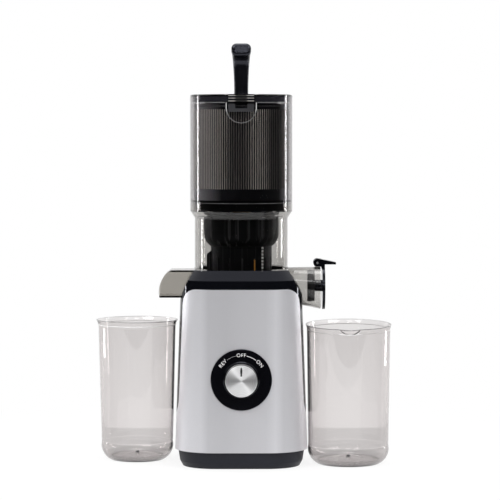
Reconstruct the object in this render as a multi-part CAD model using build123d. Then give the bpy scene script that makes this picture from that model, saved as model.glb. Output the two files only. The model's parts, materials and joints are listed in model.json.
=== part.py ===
from build123d import *
import math
import os

# Vertical slow juicer: motor base, juicing bowl, wide hopper with flip lid, pulp cup and juice jug.
# Millimetres. +Z is up, the front with its control dial faces -Y, and the origin is on the floor
# under the drive axis. Each function makes one piece, and the table at the end names the pieces.

BOTTOM = (Align.CENTER, Align.CENTER, Align.MIN)

# Motor base: a tapered rounded block. Low is the foot of the steel panel, high is the deck top.
FOOT_TOP = 21.2
DECK_TOP = 242.0
WIDTH_LOW, WIDTH_HIGH = 163.4, 147.8
FRONT_LOW, FRONT_HIGH = 85.0, 77.0
REAR_LOW, REAR_HIGH = 92.0, 82.0
CORNER_LOW, CORNER_HIGH = 50.0, 44.0
WALL = 3.5
PANEL_THICKNESS = 1.5
PANEL_TOP = 219.6
PANEL_TOP_HALF_WIDTH = 69.0
PANEL_CORNER = 16.0
SEAM_Y, SEAM_CORNER = -51.0, 20.0
WRAP_TOP, WRAP_END_Y = 64.0, 34.0
DECK_BOTTOM = 186.0
DECK_FLOOR = 196.0
DECK_LIP = 3.0
SEAT_RADIUS = 59.0
SHOULDER_TOP_X, SHOULDER_MID, SHOULDER_LOW = 57.5, (68.3, 223.0), (77.4, 197.0)
BEVEL_Z, BEVEL_DEPTH = 230.0, 10.5
NOTCH_INNER, NOTCH_OUTER = 48.0, 90.0
HUB_RADIUS, HUB_HEIGHT, HUB_CLEARANCE = 9.0, 8.0, 1.2
VENT_ROWS, VENT_LOW, VENT_PITCH = 5, 46.0, 9.0
VENT_LENGTH, VENT_HEIGHT = 64.0, 3.4
GLAND_X, GLAND_Z, GLAND_RADIUS = 28.0, 32.0, 6.5
GLAND_FLANGE, GLAND_LENGTH = 2.5, 3.0

# Foot tray, rubber feet and their screws.
FOOT_HEIGHT = 0.6
FOOT_KNEE = 7.0
FOOT_INSET_TOP, FOOT_INSET_KNEE, FOOT_INSET_LOW = 3.8, 6.0, 9.5
FOOT_SHELL, FOOT_FLOOR = 4.0, 3.0
FOOT_RADIUS, FOOT_POCKET, FOOT_HOLE = 9.0, 2.0, 2.6
FOOT_X, FOOT_FRONT_Y, FOOT_REAR_Y = 48.0, -52.0, 56.0
FLOOR_SLOTS, FLOOR_SLOT_PITCH, FLOOR_SLOT_HALF = 5, 10.0, 24.0
SCREW_RADIUS, SCREW_HEAD_RADIUS, SCREW_HEAD_LOW, SCREW_TOP = 1.6, 2.4, 0.4, 30.0
BOSS_RADIUS, BOSS_BORE, BOSS_TOP, BOSS_WEB = 5.0, 1.7, 44.0, 1.2

# Control dial on the leaning front face.
DIAL_Z = 110.4
DIAL_RADIUS = 37.3
DIAL_THICKNESS = 2.4
DIAL_WELL_FLOOR = 1.2
KNOB_RADIUS = 19.8
KNOB_BASE, KNOB_HEIGHT = 5.4, 18.0
KNOB_COVER = 5.0
SKIRT_RADIUS, SKIRT_BASE = 22.3, 1.6
POINTER_WIDTH, POINTER_DEPTH, POINTER_SINK = 1.9, 0.6, 0.1
SPINDLE_RADIUS, SPINDLE_ROOM = 3.0, 4.0
SWITCH_SIZE, SWITCH_DEPTH = 28.0, 15.0
BLADE_X, BLADE_LENGTH = 8.0, 5.0
BOARD_X, BOARD_Y, BOARD_Z = (58.0, 59.6), (-34.0, 26.0), (62.0, 120.0)
RAIL_HALF = 2.0

# Drive: motor, two spur stages, output shaft. Gear axes are vertical and lie in the plane x = 0.
SMALL_TEETH, LARGE_TEETH = 12, 48
FIRST_MODULE, SECOND_MODULE = 0.9, 1.2
PRESSURE_ANGLE = math.radians(25)
BACKLASH = 0.14
HALF_TOOTH = 180 / SMALL_TEETH
IDLER_Y = SECOND_MODULE * (SMALL_TEETH + LARGE_TEETH) / 2
MOTOR_Y = IDLER_Y - FIRST_MODULE * (SMALL_TEETH + LARGE_TEETH) / 2
MOTOR_RADIUS, MOTOR_WALL = 36.0, 2.0
MOTOR_BOTTOM, MOTOR_TOP = 38.0, 120.0
MOTOR_SHAFT_RADIUS, MOTOR_SHAFT_BOTTOM = 3.0, 26.0
STATOR_BORE, STATOR_LOW, STATOR_HIGH = 24.0, 56.0, 104.0
POLE_COUNT = 12
ROTOR_RADIUS, ROTOR_LOW, ROTOR_HIGH = 23.0, 58.0, 102.0
COMMUTATOR_RADIUS, COMMUTATOR_TOP = 11.0, 112.0
FAN_RADIUS, FAN_HUB, FAN_TOP, FAN_PLATE = 30.0, 8.0, 35.0, 1.6
FAN_BLADES, FAN_BLADE_TURN = 9, 20.0
CASE_BOTTOM, CASE_TOP = 120.0, 161.0
CASE_WALL, CASE_FLOOR = 3.0, 4.0
GEAR_ROOM = 3.0
COVER_THICKNESS = 4.0
BEARING_WALL, BEARING_LENGTH, BEARING_BOSS = 3.0, 16.0, 14.0
EAR_RADIUS, EAR_SCREW, EAR_HEIGHT = 5.0, 1.6, 12.0
FIRST_STAGE_Z, FIRST_FACE = 131.0, 9.0
SECOND_STAGE_Z, SECOND_FACE = 145.0, 11.0
WEB_OUTER, WEB_INNER, WEB_FLOOR = 24.0, 11.0, 7.0
AXLE_RADIUS = 3.0
DRIVE_RADIUS = 6.0
DRIVE_FLATS = 9.0
HEXAGON_START, DRIVE_TOP = 206.0, 232.0
RUNNING_FIT = 0.05

# Juicing bowl.
BOWL_BOTTOM = 196.6
BOWL_FLOOR = 200.0
BOWL_RADIUS = 57.8
CLEAR_WALL = 2.6
SHOULDER_Z = 304.0
COLLAR_Z = 313.0
COLLAR_RADIUS = 63.5
COLLAR_TOP = 324.0
CHIMNEY_RADIUS, CHIMNEY_BORE, CHIMNEY_HEIGHT = 12.4, 9.8, 11.0
SPOUT_START = (55.0, 221.0, 21.4)
SPOUT_END = (98.5, 216.8, 26.2)
SPOUT_WALL = 2.3
SPOUT_PORT_RADIUS = 17.5
CHUTE_HALF_WIDTH, CHUTE_WALL = 21.0, 2.2
CHUTE_TOP, CHUTE_FLOOR = 240.0, 206.0
CHUTE_ROOF_END, CHUTE_FLOOR_END = -87.0, -101.2
DUCT_HALF_WIDTH, DUCT_WALL, DUCT_TOP, DUCT_INNER_X = 13.0, 2.0, 230.0, -39.4
POST_HALF_WIDTH, POST_RADIUS, POST_LOW = 3.6, 3.6, 238.0
SEAL_LIP = 8.2

# Strainer basket.
STRAINER_BOTTOM, STRAINER_NECK, STRAINER_TOP = 214.0, 269.0, 306.0
STRAINER_RADIUS, FUNNEL_RADIUS, FUNNEL_Z = 38.0, 46.5, 285.0
STRAINER_WALL = 2.0
COLLET_RADIUS, COLLET_BORE = 16.0, 12.8
MESH_THICKNESS, MESH_TOP = 0.6, 262.0
SLOT_COUNT, SLOT_TURN, SLOT_WIDTH = 15, -64.3, 2.2
SLOT_LOW, SLOT_HIGH = 222.0, 256.0
WINDOW_LOW, WINDOW_HIGH = 242.5, 254.0
HOLE_COUNT, HOLE_TURN, HOLE_RADIUS = 7, -47.5, 1.4
HOLE_LOW, HOLE_PITCH = 243.5, 4.1
PULP_PORT_HALF_WIDTH, PULP_PORT_TOP = 11.0, 229.0
GUIDE_REACH, GUIDE_HALF_WIDTH, GUIDE_LOW, GUIDE_HIGH = 42.6, 9.0, 233.0, 264.0

# Auger.
AUGER_BOTTOM, AUGER_TOP = 217.0, 288.0
AUGER_RADIUS = 33.6
AUGER_TWIST = 330
FLIGHT_WIDTH = 6.5
CORE_FOOT, CORE_KNEE, CORE_NECK, CORE_HEAD, CORE_TIP = 29.0, 27.0, 17.0, 13.0, 8.0
TIP_HEIGHT = 12.0
JOURNAL_RADIUS, JOURNAL_BOTTOM = 7.9, 208.0
SOCKET_RADIUS, SOCKET_TOP, SOCKET_DEPTH, SOCKET_FIT = 7.0, 237.0, 27.0, 0.3
BLADE_LEVEL, BLADE_REACH, BLADE_WIDTH, BLADE_GAUGE = 9.0, 30.0, 7.0, 1.6
HOOK_HEIGHT, HOOK_GAUGE = 8.0, 4.0

# Juice outlet cap, hinged above the spout.
CAP_PIVOT_X, CAP_PIVOT_Z = 94.8, 248.4
CAP_PIN_RADIUS, CAP_PIN_HALF = 1.5, 8.6
CAP_PLATE_X, CAP_PLATE_RADIUS, CAP_PLATE_Z, CAP_PLATE_THICKNESS = 100.6, 27.0, 217.2, 3.4
CAP_HALF_WIDTH, FORK_HALF_GAP = 8.4, 4.1
STEM_RADIUS = 7.2
STOPPER_X, STOPPER_LENGTH, STOPPER_RADIUS, STOPPER_Z = 82.0, 9.0, 19.2, 219.6
STOPPER_LIP = 0.8

# Hopper and lid.
HOPPER_TOP = 447.0
SPIGOT_GAP, SPIGOT_BOTTOM = 0.4, 315.0
FLOOR_TOP, FLOOR_THICKNESS = 327.0, 2.6
LINER_RADIUS, LINER_WALL = 53.0, 2.2
LINER_TOP = 445.4
FEED_RADIUS, THROAT_RADIUS = 48.0, 41.0
SLEEVE_RADIUS, SLEEVE_BOTTOM = 55.0, 313.5
RIB_COUNT, RIB_HEIGHT, RIB_WIDTH = 48, 1.3, 1.6
RIB_START, RIB_END = 341.0, 438.6
FLUTE_COUNT, FLUTE_PROUD, FLUTE_SHARE = 96, 0.9, 0.62
LID_TOP = 457.0
LID_GAP = 0.3
LID_EDGE = 1.2
TAB_HALF_WIDTH, TAB_PROUD, TAB_GROOVE = 16.0, 2.2, 1.6
TAB_GROOVES = (LID_TOP - 3.4, LID_TOP - 6.6)
TONGUE_RADIUS, TONGUE_CENTRE_Z = 18.3, 440.2
TONGUE_GAP = 0.8
HINGE_Y, HINGE_Z, HINGE_RADIUS = 68.0, 450.5, 4.0
HINGE_PIN_RADIUS = 1.6
LUG_INNER, LUG_OUTER, KNUCKLE_HALF = 5.0, 14.0, 4.6
INSERT_RADIUS, INSERT_LOW = 60.4, 448.2
PLUG_RADIUS, PLUG_TOP_RADIUS, PLUG_LOW, PLUG_HOLLOW = 44.0, 46.0, 442.4, 42.0

# Bent grip on the lid.
HANDLE_Y = -41.0
ROOT_HALF_WIDTH, ROOT_HALF_DEPTH, ROOT_LOW = 8.2, 5.0, 441.6
HANDLE_STRAIGHT, HANDLE_BEND, HANDLE_BEND_ANGLE = 33.4, 21.2, 84
HANDLE_WIDTH_LOW, HANDLE_WIDTH_HIGH = 17.2, 25.2
HANDLE_DEPTH_LOW, HANDLE_DEPTH_HIGH = 12.8, 16.4
HANDLE_ROUND, NOSE_ROUND = 0.4, 4.2
HANDLE_SCREW_X, HANDLE_SCREW_RADIUS, HANDLE_SCREW_HEIGHT = 4.2, 2.6, 2.2

# Free-standing vessels. Rim, top and low are outer radii.
PULP_CUP = dict(x=-130.8, y=20.0, rim=51.2, top=48.4, low=44.8, height=176.0)
JUICE_JUG = dict(x=133.0, y=-18.0, rim=55.0, top=51.8, low=49.8, height=176.0)
CUP_WALL = 2.4
CUP_FLOOR = 3.0
CUP_HEEL_WIDTH, CUP_HEEL_HEIGHT = 11.5, 23.0
CUP_DOME = 4.5
FLARE_HEIGHT = 9.0
GATE_RADIUS, GATE_HEIGHT = 3.4, 1.6
JUG_TILT, JUG_MID_HEIGHT = 2.5, 172.8
LIP_RADIUS, LIP_SETBACK, LIP_RISE = 17.0, 11.5, 2.0


def blend(low, high, z):
    """Linear value between the foot and the deck top of the motor base."""
    return low + (high - low) * (z - FOOT_TOP) / (DECK_TOP - FOOT_TOP)


def body_outline(z, inset=0.0):
    """Plan outline of the motor base at height z, drawn in by inset."""
    front, rear = blend(FRONT_LOW, FRONT_HIGH, z) - inset, blend(REAR_LOW, REAR_HIGH, z) - inset
    width = blend(WIDTH_LOW, WIDTH_HIGH, z) - 2 * inset
    corner = blend(CORNER_LOW, CORNER_HIGH, z) - inset
    return Pos(0, (rear - front) / 2, z) * RectangleRounded(width, front + rear, corner)


def body_block(z_low, z_high, inset=0.0):
    return loft([body_outline(z_low, inset), body_outline(z_high, inset)], ruled=True)


def turned(points, at=(0, 0)):
    """Solid of revolution about a vertical axis from (radius, height) points."""
    profile = Plane.XZ * make_face(Polyline(*points, close=True))
    return Pos(at[0], at[1], 0) * revolve(profile, Axis.Z)


def drum(radius, z_low, z_high, at=(0, 0)):
    return Pos(at[0], at[1], z_low) * Cylinder(radius, z_high - z_low, align=BOTTOM)


def tube(outer, inner, z_low, z_high, at=(0, 0)):
    return drum(outer, z_low, z_high, at) - drum(inner, z_low, z_high, at)


def block(x, y, z):
    """Box between three (low, high) pairs."""
    size = [high - low for low, high in (x, y, z)]
    centre = [(high + low) / 2 for low, high in (x, y, z)]
    return Pos(*centre) * Box(*size)


def across_x(radius, x_low, x_high, y, z):
    """Round bar along X."""
    return Pos((x_low + x_high) / 2, y, z) * Rot(0, 90, 0) * Cylinder(radius, x_high - x_low)


def across_y(radius, y_low, y_high, x, z):
    """Round bar along Y."""
    return Pos(x, (y_low + y_high) / 2, z) * Rot(90, 0, 0) * Cylinder(radius, y_high - y_low)


def front_shape(edges, y_low, y_high):
    """Solid from an outline drawn in the front view (X, Z), between two depths."""
    face = Plane.XZ * make_face(edges)
    return Pos(0, y_high, 0) * extrude(face, y_high - y_low)


def dial_plane(offset=0.0):
    """Plane on the front face at the dial, its normal along the knob's axis, offset outwards."""
    lean = math.atan2(FRONT_LOW - FRONT_HIGH, DECK_TOP - FOOT_TOP)
    normal = Vector(0, -math.cos(lean), math.sin(lean))
    origin = Vector(0, -blend(FRONT_LOW, FRONT_HIGH, DIAL_Z), DIAL_Z) + normal * offset
    return Plane(origin=origin, x_dir=(1, 0, 0), z_dir=normal)


def dial_drum(radius, low, high):
    """Round disc on the knob's axis between two offsets from the front face."""
    return dial_plane(low) * Cylinder(radius, high - low, align=BOTTOM)


# Motor base shells


def steel_panel():
    """Front sheet: rounded top corners, upright side seams, and a band low down that wraps the sides."""
    skin = body_block(FOOT_TOP, PANEL_TOP) - body_block(FOOT_TOP, PANEL_TOP, PANEL_THICKNESS)
    low = WIDTH_LOW / 2 + PANEL_CORNER
    ahead = -2 * FRONT_LOW
    outline = Polyline((-low, FOOT_TOP), (-PANEL_TOP_HALF_WIDTH, PANEL_TOP),
                       (PANEL_TOP_HALF_WIDTH, PANEL_TOP), (low, FOOT_TOP), close=True)
    face = Plane.XZ * fillet(make_face(outline).vertices().group_by(Axis.Y)[-1], PANEL_CORNER)
    front = extrude(face, -ahead) + block((-low, low), (-FRONT_LOW, FRONT_LOW), (FOOT_TOP, WRAP_TOP))
    side = Polyline((ahead, FOOT_TOP), (WRAP_END_Y, FOOT_TOP), (WRAP_END_Y, WRAP_TOP),
                    (SEAM_Y, WRAP_TOP), (SEAM_Y, PANEL_TOP), (ahead, PANEL_TOP), close=True)
    bends = make_face(side).vertices().group_by(Axis.Y)[1]
    ahead_of_seam = extrude(Plane.YZ * fillet(bends, SEAM_CORNER), WIDTH_LOW, both=True)
    return skin & front & ahead_of_seam


def spindle_hole():
    return dial_drum(SPINDLE_RADIUS + SPINDLE_ROOM, -2 * WALL, WALL)


def front_panel():
    return steel_panel() - spindle_hole()


def main_housing():
    """Black body shell behind the steel panel, with air slots low on the rear."""
    shell = body_block(FOOT_TOP, DECK_BOTTOM) - body_block(FOOT_TOP, DECK_BOTTOM, WALL)
    shell -= steel_panel()
    shell -= spindle_hole()
    for row in range(VENT_ROWS):
        slot = Pos(0, REAR_LOW, VENT_LOW + row * VENT_PITCH) * Rot(90, 0, 0) * SlotOverall(VENT_LENGTH, VENT_HEIGHT)
        shell -= extrude(slot, 4 * WALL, both=True)
    gland_hole = across_y(GLAND_RADIUS, REAR_LOW - 4 * WALL, REAR_LOW + 2 * WALL, GLAND_X, GLAND_Z)
    return shell - gland_hole + housing_bosses() + board_rails()


def top_deck():
    """Black cradle for the bowl: rounded shoulders, round seat, side notches for both spouts."""
    high = DECK_TOP + 1
    shoulder = [Line((-WIDTH_LOW, DECK_BOTTOM), (WIDTH_LOW, DECK_BOTTOM)),
                Line((WIDTH_LOW, DECK_BOTTOM), (WIDTH_LOW, SHOULDER_LOW[1])),
                Line((WIDTH_LOW, SHOULDER_LOW[1]), SHOULDER_LOW),
                ThreePointArc(SHOULDER_LOW, SHOULDER_MID, (SHOULDER_TOP_X, DECK_TOP)),
                Line((SHOULDER_TOP_X, DECK_TOP), (-SHOULDER_TOP_X, DECK_TOP)),
                ThreePointArc((-SHOULDER_TOP_X, DECK_TOP), (-SHOULDER_MID[0], SHOULDER_MID[1]),
                              (-SHOULDER_LOW[0], SHOULDER_LOW[1])),
                Line((-SHOULDER_LOW[0], SHOULDER_LOW[1]), (-WIDTH_LOW, SHOULDER_LOW[1])),
                Line((-WIDTH_LOW, SHOULDER_LOW[1]), (-WIDTH_LOW, DECK_BOTTOM))]
    bevel = loft([body_outline(BEVEL_Z), body_outline(DECK_TOP, BEVEL_DEPTH)], ruled=True)
    deck = (body_block(DECK_BOTTOM, BEVEL_Z) + bevel) & front_shape(shoulder, -REAR_LOW, REAR_LOW)
    deck -= drum(SEAT_RADIUS, DECK_FLOOR, high)
    deck -= steel_panel()
    deck -= body_block(DECK_BOTTOM, DECK_BOTTOM + DECK_LIP, WALL)
    notch, spout_z = SPOUT_END[2] - 0.6, SPOUT_END[1] + 2
    deck -= across_x(notch, NOTCH_INNER, NOTCH_OUTER, 0, spout_z)
    deck -= block((NOTCH_INNER, NOTCH_OUTER), (-notch, notch), (spout_z, high))
    chute_half = CHUTE_HALF_WIDTH + 2
    deck -= block((-NOTCH_OUTER, -NOTCH_INNER), (-chute_half, chute_half), (CHUTE_FLOOR - 2, high))
    for at in gearbox_ears():
        deck += tube(EAR_RADIUS, EAR_SCREW, CASE_TOP + COVER_THICKNESS, DECK_BOTTOM + DECK_LIP, at)
    bore = DRIVE_RADIUS + HUB_CLEARANCE
    hub = tube(HUB_RADIUS, bore, DECK_FLOOR, DECK_FLOOR + HUB_HEIGHT)
    return deck - drum(bore, DECK_BOTTOM, high) + hub


def foot_base():
    """Tapered foot tray with screw bosses, foot pockets and floor slots for cooling air."""
    def outline(z, inset):
        return Pos(0, 0, z - FOOT_TOP) * body_outline(FOOT_TOP, inset)
    sections = [outline(FOOT_TOP, FOOT_INSET_TOP), outline(FOOT_KNEE, FOOT_INSET_KNEE),
                outline(FOOT_HEIGHT, FOOT_INSET_LOW)]
    hollow = [outline(FOOT_TOP, FOOT_INSET_TOP + FOOT_SHELL), outline(FOOT_KNEE, FOOT_INSET_KNEE + FOOT_SHELL),
              outline(FOOT_HEIGHT + FOOT_FLOOR, FOOT_INSET_LOW + FOOT_SHELL)]
    tray = loft(sections, ruled=True) - loft(hollow, ruled=True)
    seat = FOOT_HEIGHT + FOOT_POCKET
    for at in foot_places():
        tray += drum(FOOT_RADIUS + 2, FOOT_HEIGHT, FOOT_TOP, at)
        tray -= drum(FOOT_RADIUS, FOOT_HEIGHT, seat, at)
        tray -= drum(SCREW_RADIUS + 0.4, seat, FOOT_TOP, at)
    for row in range(FLOOR_SLOTS):
        middle = (row - (FLOOR_SLOTS - 1) / 2) * FLOOR_SLOT_PITCH
        span = (middle - FLOOR_SLOT_PITCH / 4, middle + FLOOR_SLOT_PITCH / 4)
        tray -= block((-FLOOR_SLOT_HALF, FLOOR_SLOT_HALF), span, (0, FOOT_KNEE))
    return tray


def foot_places():
    return [(x, y) for x in (-FOOT_X, FOOT_X) for y in (FOOT_FRONT_Y, FOOT_REAR_Y)]


def rubber_feet():
    def foot(at):
        outer, top = FOOT_RADIUS - 0.2, FOOT_HEIGHT + FOOT_POCKET
        profile = [(FOOT_HOLE, 0), (outer - 0.6, 0), (outer, 0.6), (outer, top), (FOOT_HOLE, top)]
        return turned(profile, at)
    return [foot(at) for at in foot_places()]


def base_screws():
    """Long screws through the feet, into the housing's bosses."""
    seat = FOOT_HEIGHT + FOOT_POCKET
    return [drum(SCREW_HEAD_RADIUS, SCREW_HEAD_LOW, seat, at) + drum(SCREW_RADIUS, seat, SCREW_TOP, at)
            for at in foot_places()]


def board_rails():
    """Two grooved ribs on the housing's right wall that hold the circuit board by its edges."""
    inside = body_block(FOOT_TOP, DECK_BOTTOM, WALL - 0.2)
    rails = []
    for edge in BOARD_Y:
        rail = block((BOARD_X[0] - RAIL_HALF, WIDTH_LOW / 2), (edge - RAIL_HALF, edge + RAIL_HALF), BOARD_Z) & inside
        rails.append(rail - block(BOARD_X, BOARD_Y, BOARD_Z))
    return rails


def housing_bosses():
    """Posts that take the foot screws, tied to the housing wall."""
    low = FOOT_TOP + 0.2
    posts = []
    for x, y in foot_places():
        post = tube(BOSS_RADIUS, BOSS_BORE, low, BOSS_TOP, (x, y))
        wall_side = math.copysign(REAR_LOW, y)
        web = block((x - BOSS_WEB, x + BOSS_WEB), sorted((y, wall_side)), (low, BOSS_TOP))
        web &= body_block(FOOT_TOP, BOSS_TOP + FOOT_TOP, WALL)
        posts.append(post + web - drum(BOSS_BORE, FOOT_TOP, BOSS_TOP, (x, y)))
    return posts


def cord_gland():
    """Bare cable entry: a flanged grommet in the rear wall."""
    face = blend(REAR_LOW, REAR_HIGH, GLAND_Z)
    grommet = across_y(GLAND_RADIUS, face - WALL - GLAND_LENGTH, face + 2, GLAND_X, GLAND_Z)
    grommet += across_y(GLAND_RADIUS + GLAND_FLANGE, face + 0.7, face + 0.7 + GLAND_LENGTH, GLAND_X, GLAND_Z)
    return grommet - across_y(GLAND_RADIUS / 2, face - 3 * WALL, face + 2 * WALL, GLAND_X, GLAND_Z)


# Control dial


def outer_rim(disc):
    """The foremost round edge of a disc on the dial."""
    return disc.edges().filter_by(GeomType.CIRCLE).sort_by(Axis.Y)[0]


def dial_ring():
    """Black dial plate with a chamfered rim and a sunk well round the knob, bedded on the panel."""
    plate = chamfer(outer_rim(dial_drum(DIAL_RADIUS, -1, DIAL_THICKNESS)), 0.8)
    plate -= body_block(FOOT_TOP, PANEL_TOP)
    plate -= dial_drum(SKIRT_RADIUS + 0.6, DIAL_WELL_FLOOR, DIAL_THICKNESS + 1)
    return plate - dial_drum(SPINDLE_RADIUS + 0.6, -1, DIAL_THICKNESS)


def knob_cap():
    """Solid metal knob with a bevelled face and an engraved pointer."""
    body = chamfer(outer_rim(dial_drum(KNOB_RADIUS, KNOB_BASE, KNOB_HEIGHT)), 0.9)
    body -= dial_drum(SPINDLE_RADIUS, KNOB_BASE, KNOB_HEIGHT - KNOB_COVER)
    return body - pointer_slot(KNOB_HEIGHT - POINTER_DEPTH, KNOB_HEIGHT + 1)


def pointer_slot(low, high):
    slot = Pos(0, KNOB_RADIUS * 0.52, 0) * Rectangle(POINTER_WIDTH, KNOB_RADIUS * 0.5)
    return dial_plane(low) * extrude(slot, high - low)


def knob_pointer():
    return pointer_slot(KNOB_HEIGHT - POINTER_DEPTH, KNOB_HEIGHT - POINTER_SINK)


def knob_skirt():
    """Black base ring of the knob."""
    ring = chamfer(outer_rim(dial_drum(SKIRT_RADIUS, SKIRT_BASE, KNOB_BASE)), 1.2)
    return ring - dial_drum(SPINDLE_RADIUS, SKIRT_BASE, KNOB_BASE)


def knob_spindle():
    return dial_drum(SPINDLE_RADIUS, -WALL - SWITCH_DEPTH - 2, KNOB_HEIGHT - KNOB_COVER)


def rotary_switch():
    """Switch block against the wall's inner face, with a nose round the spindle and two blade terminals."""
    back = -WALL - SWITCH_DEPTH
    body = dial_plane(back) * Box(SWITCH_SIZE, SWITCH_SIZE, SWITCH_DEPTH, align=BOTTOM)
    for side in (-BLADE_X, BLADE_X):
        body += dial_plane(back - BLADE_LENGTH) * (Pos(side, 0, 0) * Box(5, 1, BLADE_LENGTH + 1, align=BOTTOM))
    body += dial_drum(SPINDLE_RADIUS + 3, -WALL, 0)
    return body - dial_drum(SPINDLE_RADIUS + RUNNING_FIT, back - BLADE_LENGTH, 2)


def control_board():
    """Circuit board on the side wall with its rectifier and capacitor."""
    x, middle = BOARD_X[0], sum(BOARD_Y) / 2
    rectifier = block((x - 8, x + 0.5), (middle - 22, middle - 4), (BOARD_Z[0] + 10, BOARD_Z[0] + 34))
    capacitor = Pos(x - 4, middle + 16, sum(BOARD_Z) / 2) * Cylinder(6, 26)
    return block(BOARD_X, BOARD_Y, BOARD_Z) + rectifier + capacitor


# Drive train


def gear_face(teeth, module, turn=0.0):
    """Involute spur gear outline with a tooth centred at angle turn, in degrees."""
    pitch = module * teeth / 2
    base, tip, root = pitch * math.cos(PRESSURE_ANGLE), pitch + module, pitch - 1.25 * module
    half_at_pitch = (math.pi * module / 2 - BACKLASH) / (2 * pitch)

    def involute(angle):
        return math.tan(angle) - angle

    def half_angle(radius):
        angle = math.acos(min(1, base / radius))
        return half_at_pitch + involute(PRESSURE_ANGLE) - involute(angle)

    def at(radius, angle):
        return (radius * math.cos(angle), radius * math.sin(angle))

    start = max(base, root)
    middle = (start + tip) / 2
    edges = []
    for tooth in range(teeth):
        centre = math.radians(turn) + 2 * math.pi * tooth / teeth
        nxt = centre + 2 * math.pi / teeth
        low, mid, high = half_angle(start), half_angle(middle), half_angle(tip)
        if start > root:
            edges.append(Line(at(root, centre - low), at(start, centre - low)))
            edges.append(Line(at(start, centre + low), at(root, centre + low)))
        edges.append(ThreePointArc(at(start, centre - low), at(middle, centre - mid),
                                   at(tip, centre - high)))
        edges.append(Line(at(tip, centre - high), at(tip, centre + high)))
        edges.append(ThreePointArc(at(tip, centre + high), at(middle, centre + mid),
                                   at(start, centre + low)))
        edges.append(Line(at(root, centre + low), at(root, nxt - low)))
    return make_face(edges)


def gear(teeth, module, z, face_width, at_y, turn=0.0):
    return Pos(0, at_y, z) * extrude(gear_face(teeth, module, turn), face_width)


def motor_drum(radius, z_low, z_high):
    return drum(radius, z_low, z_high, (0, MOTOR_Y))


def motor_slots(count, middle, length, width):
    """Evenly spaced upright slots round the motor's axis."""
    cutters = []
    for index in range(count):
        cutter = Pos(middle, 0, MOTOR_TOP / 2) * Box(length, width, 2 * MOTOR_TOP)
        cutters.append(Pos(0, MOTOR_Y, 0) * Rot(0, 0, 360 * index / count) * cutter)
    return cutters


def motor_can():
    """Drawn steel can, closed at the top."""
    round_off = MOTOR_WALL + 1
    can = turned([(0, MOTOR_BOTTOM), (MOTOR_RADIUS, MOTOR_BOTTOM), (MOTOR_RADIUS, MOTOR_TOP - round_off),
                  (MOTOR_RADIUS - round_off, MOTOR_TOP), (0, MOTOR_TOP)], (0, MOTOR_Y))
    can -= motor_drum(MOTOR_RADIUS - MOTOR_WALL, MOTOR_BOTTOM, MOTOR_TOP - MOTOR_WALL - 0.5)
    return can - motor_drum(MOTOR_SHAFT_RADIUS + RUNNING_FIT, COMMUTATOR_TOP, CASE_TOP)


def motor_end_cap():
    """Lower end bell with a bearing boss and cooling windows."""
    cap = motor_drum(MOTOR_RADIUS - MOTOR_WALL, MOTOR_BOTTOM, MOTOR_BOTTOM + 3)
    cap += motor_drum(FAN_HUB, MOTOR_BOTTOM, MOTOR_BOTTOM + 9)
    cap -= motor_slots(POLE_COUNT // 2, 21, 14, 9)
    return cap - motor_drum(MOTOR_SHAFT_RADIUS + RUNNING_FIT, MOTOR_SHAFT_BOTTOM, STATOR_LOW)


def stator():
    """Lamination ring with pole slots."""
    ring = motor_drum(MOTOR_RADIUS - MOTOR_WALL, STATOR_LOW, STATOR_HIGH)
    ring -= motor_drum(STATOR_BORE, STATOR_LOW, STATOR_HIGH)
    return ring - motor_slots(POLE_COUNT, STATOR_BORE + 2, 5, 5)


def armature():
    """Rotor stack on the motor shaft, with straight winding slots and a commutator."""
    stack = motor_drum(ROTOR_RADIUS, ROTOR_LOW, ROTOR_HIGH)
    stack -= motor_slots(POLE_COUNT, ROTOR_RADIUS - 3, 9, 3)
    stack += motor_drum(COMMUTATOR_RADIUS, ROTOR_HIGH, COMMUTATOR_TOP)
    return stack - motor_drum(MOTOR_SHAFT_RADIUS, ROTOR_LOW, COMMUTATOR_TOP)


def pinion_shaft():
    """Motor shaft with the first-stage pinion cut on its end."""
    shaft = motor_drum(MOTOR_SHAFT_RADIUS, MOTOR_SHAFT_BOTTOM, FIRST_STAGE_Z)
    return shaft + gear(SMALL_TEETH, FIRST_MODULE, FIRST_STAGE_Z, FIRST_FACE + 1, MOTOR_Y, HALF_TOOTH)


def cooling_fan():
    """Bladed fan under the motor."""
    low, span = MOTOR_SHAFT_BOTTOM, FAN_RADIUS - FAN_HUB
    fan = motor_drum(FAN_HUB, low, FAN_TOP) + motor_drum(FAN_RADIUS, FAN_TOP - FAN_PLATE, FAN_TOP)
    for index in range(FAN_BLADES):
        blade = Pos(FAN_HUB + span / 2, 0, low) * Rot(0, 0, FAN_BLADE_TURN) * Box(span - 1, 1.4, 8, align=BOTTOM)
        fan += Pos(0, MOTOR_Y, 0) * Rot(0, 0, 360 * index / FAN_BLADES) * blade
    return fan - motor_drum(MOTOR_SHAFT_RADIUS, low, FAN_TOP)


def gear_reach(module):
    """Inner radius of the gearbox round a large wheel."""
    return module * (LARGE_TEETH + 2) / 2 + GEAR_ROOM


def case_outline(grow):
    """Plan of the gearbox: two circles round the output and idler gears and their common tangents."""
    big = Circle(gear_reach(SECOND_MODULE) + grow)
    small = Pos(0, IDLER_Y) * Circle(gear_reach(FIRST_MODULE) + grow)
    return make_hull(big.edges() + small.edges())


def gearbox_ears():
    """Places of the four screw ears round the gearbox."""
    out = CASE_WALL + EAR_RADIUS - 1
    near = gear_reach(SECOND_MODULE) + out
    turns = [math.radians(angle) for angle in (-150, -90, -30)]
    places = [(near * math.cos(turn), near * math.sin(turn)) for turn in turns]
    return [*places, (0, IDLER_Y + gear_reach(FIRST_MODULE) + out)]


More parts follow.
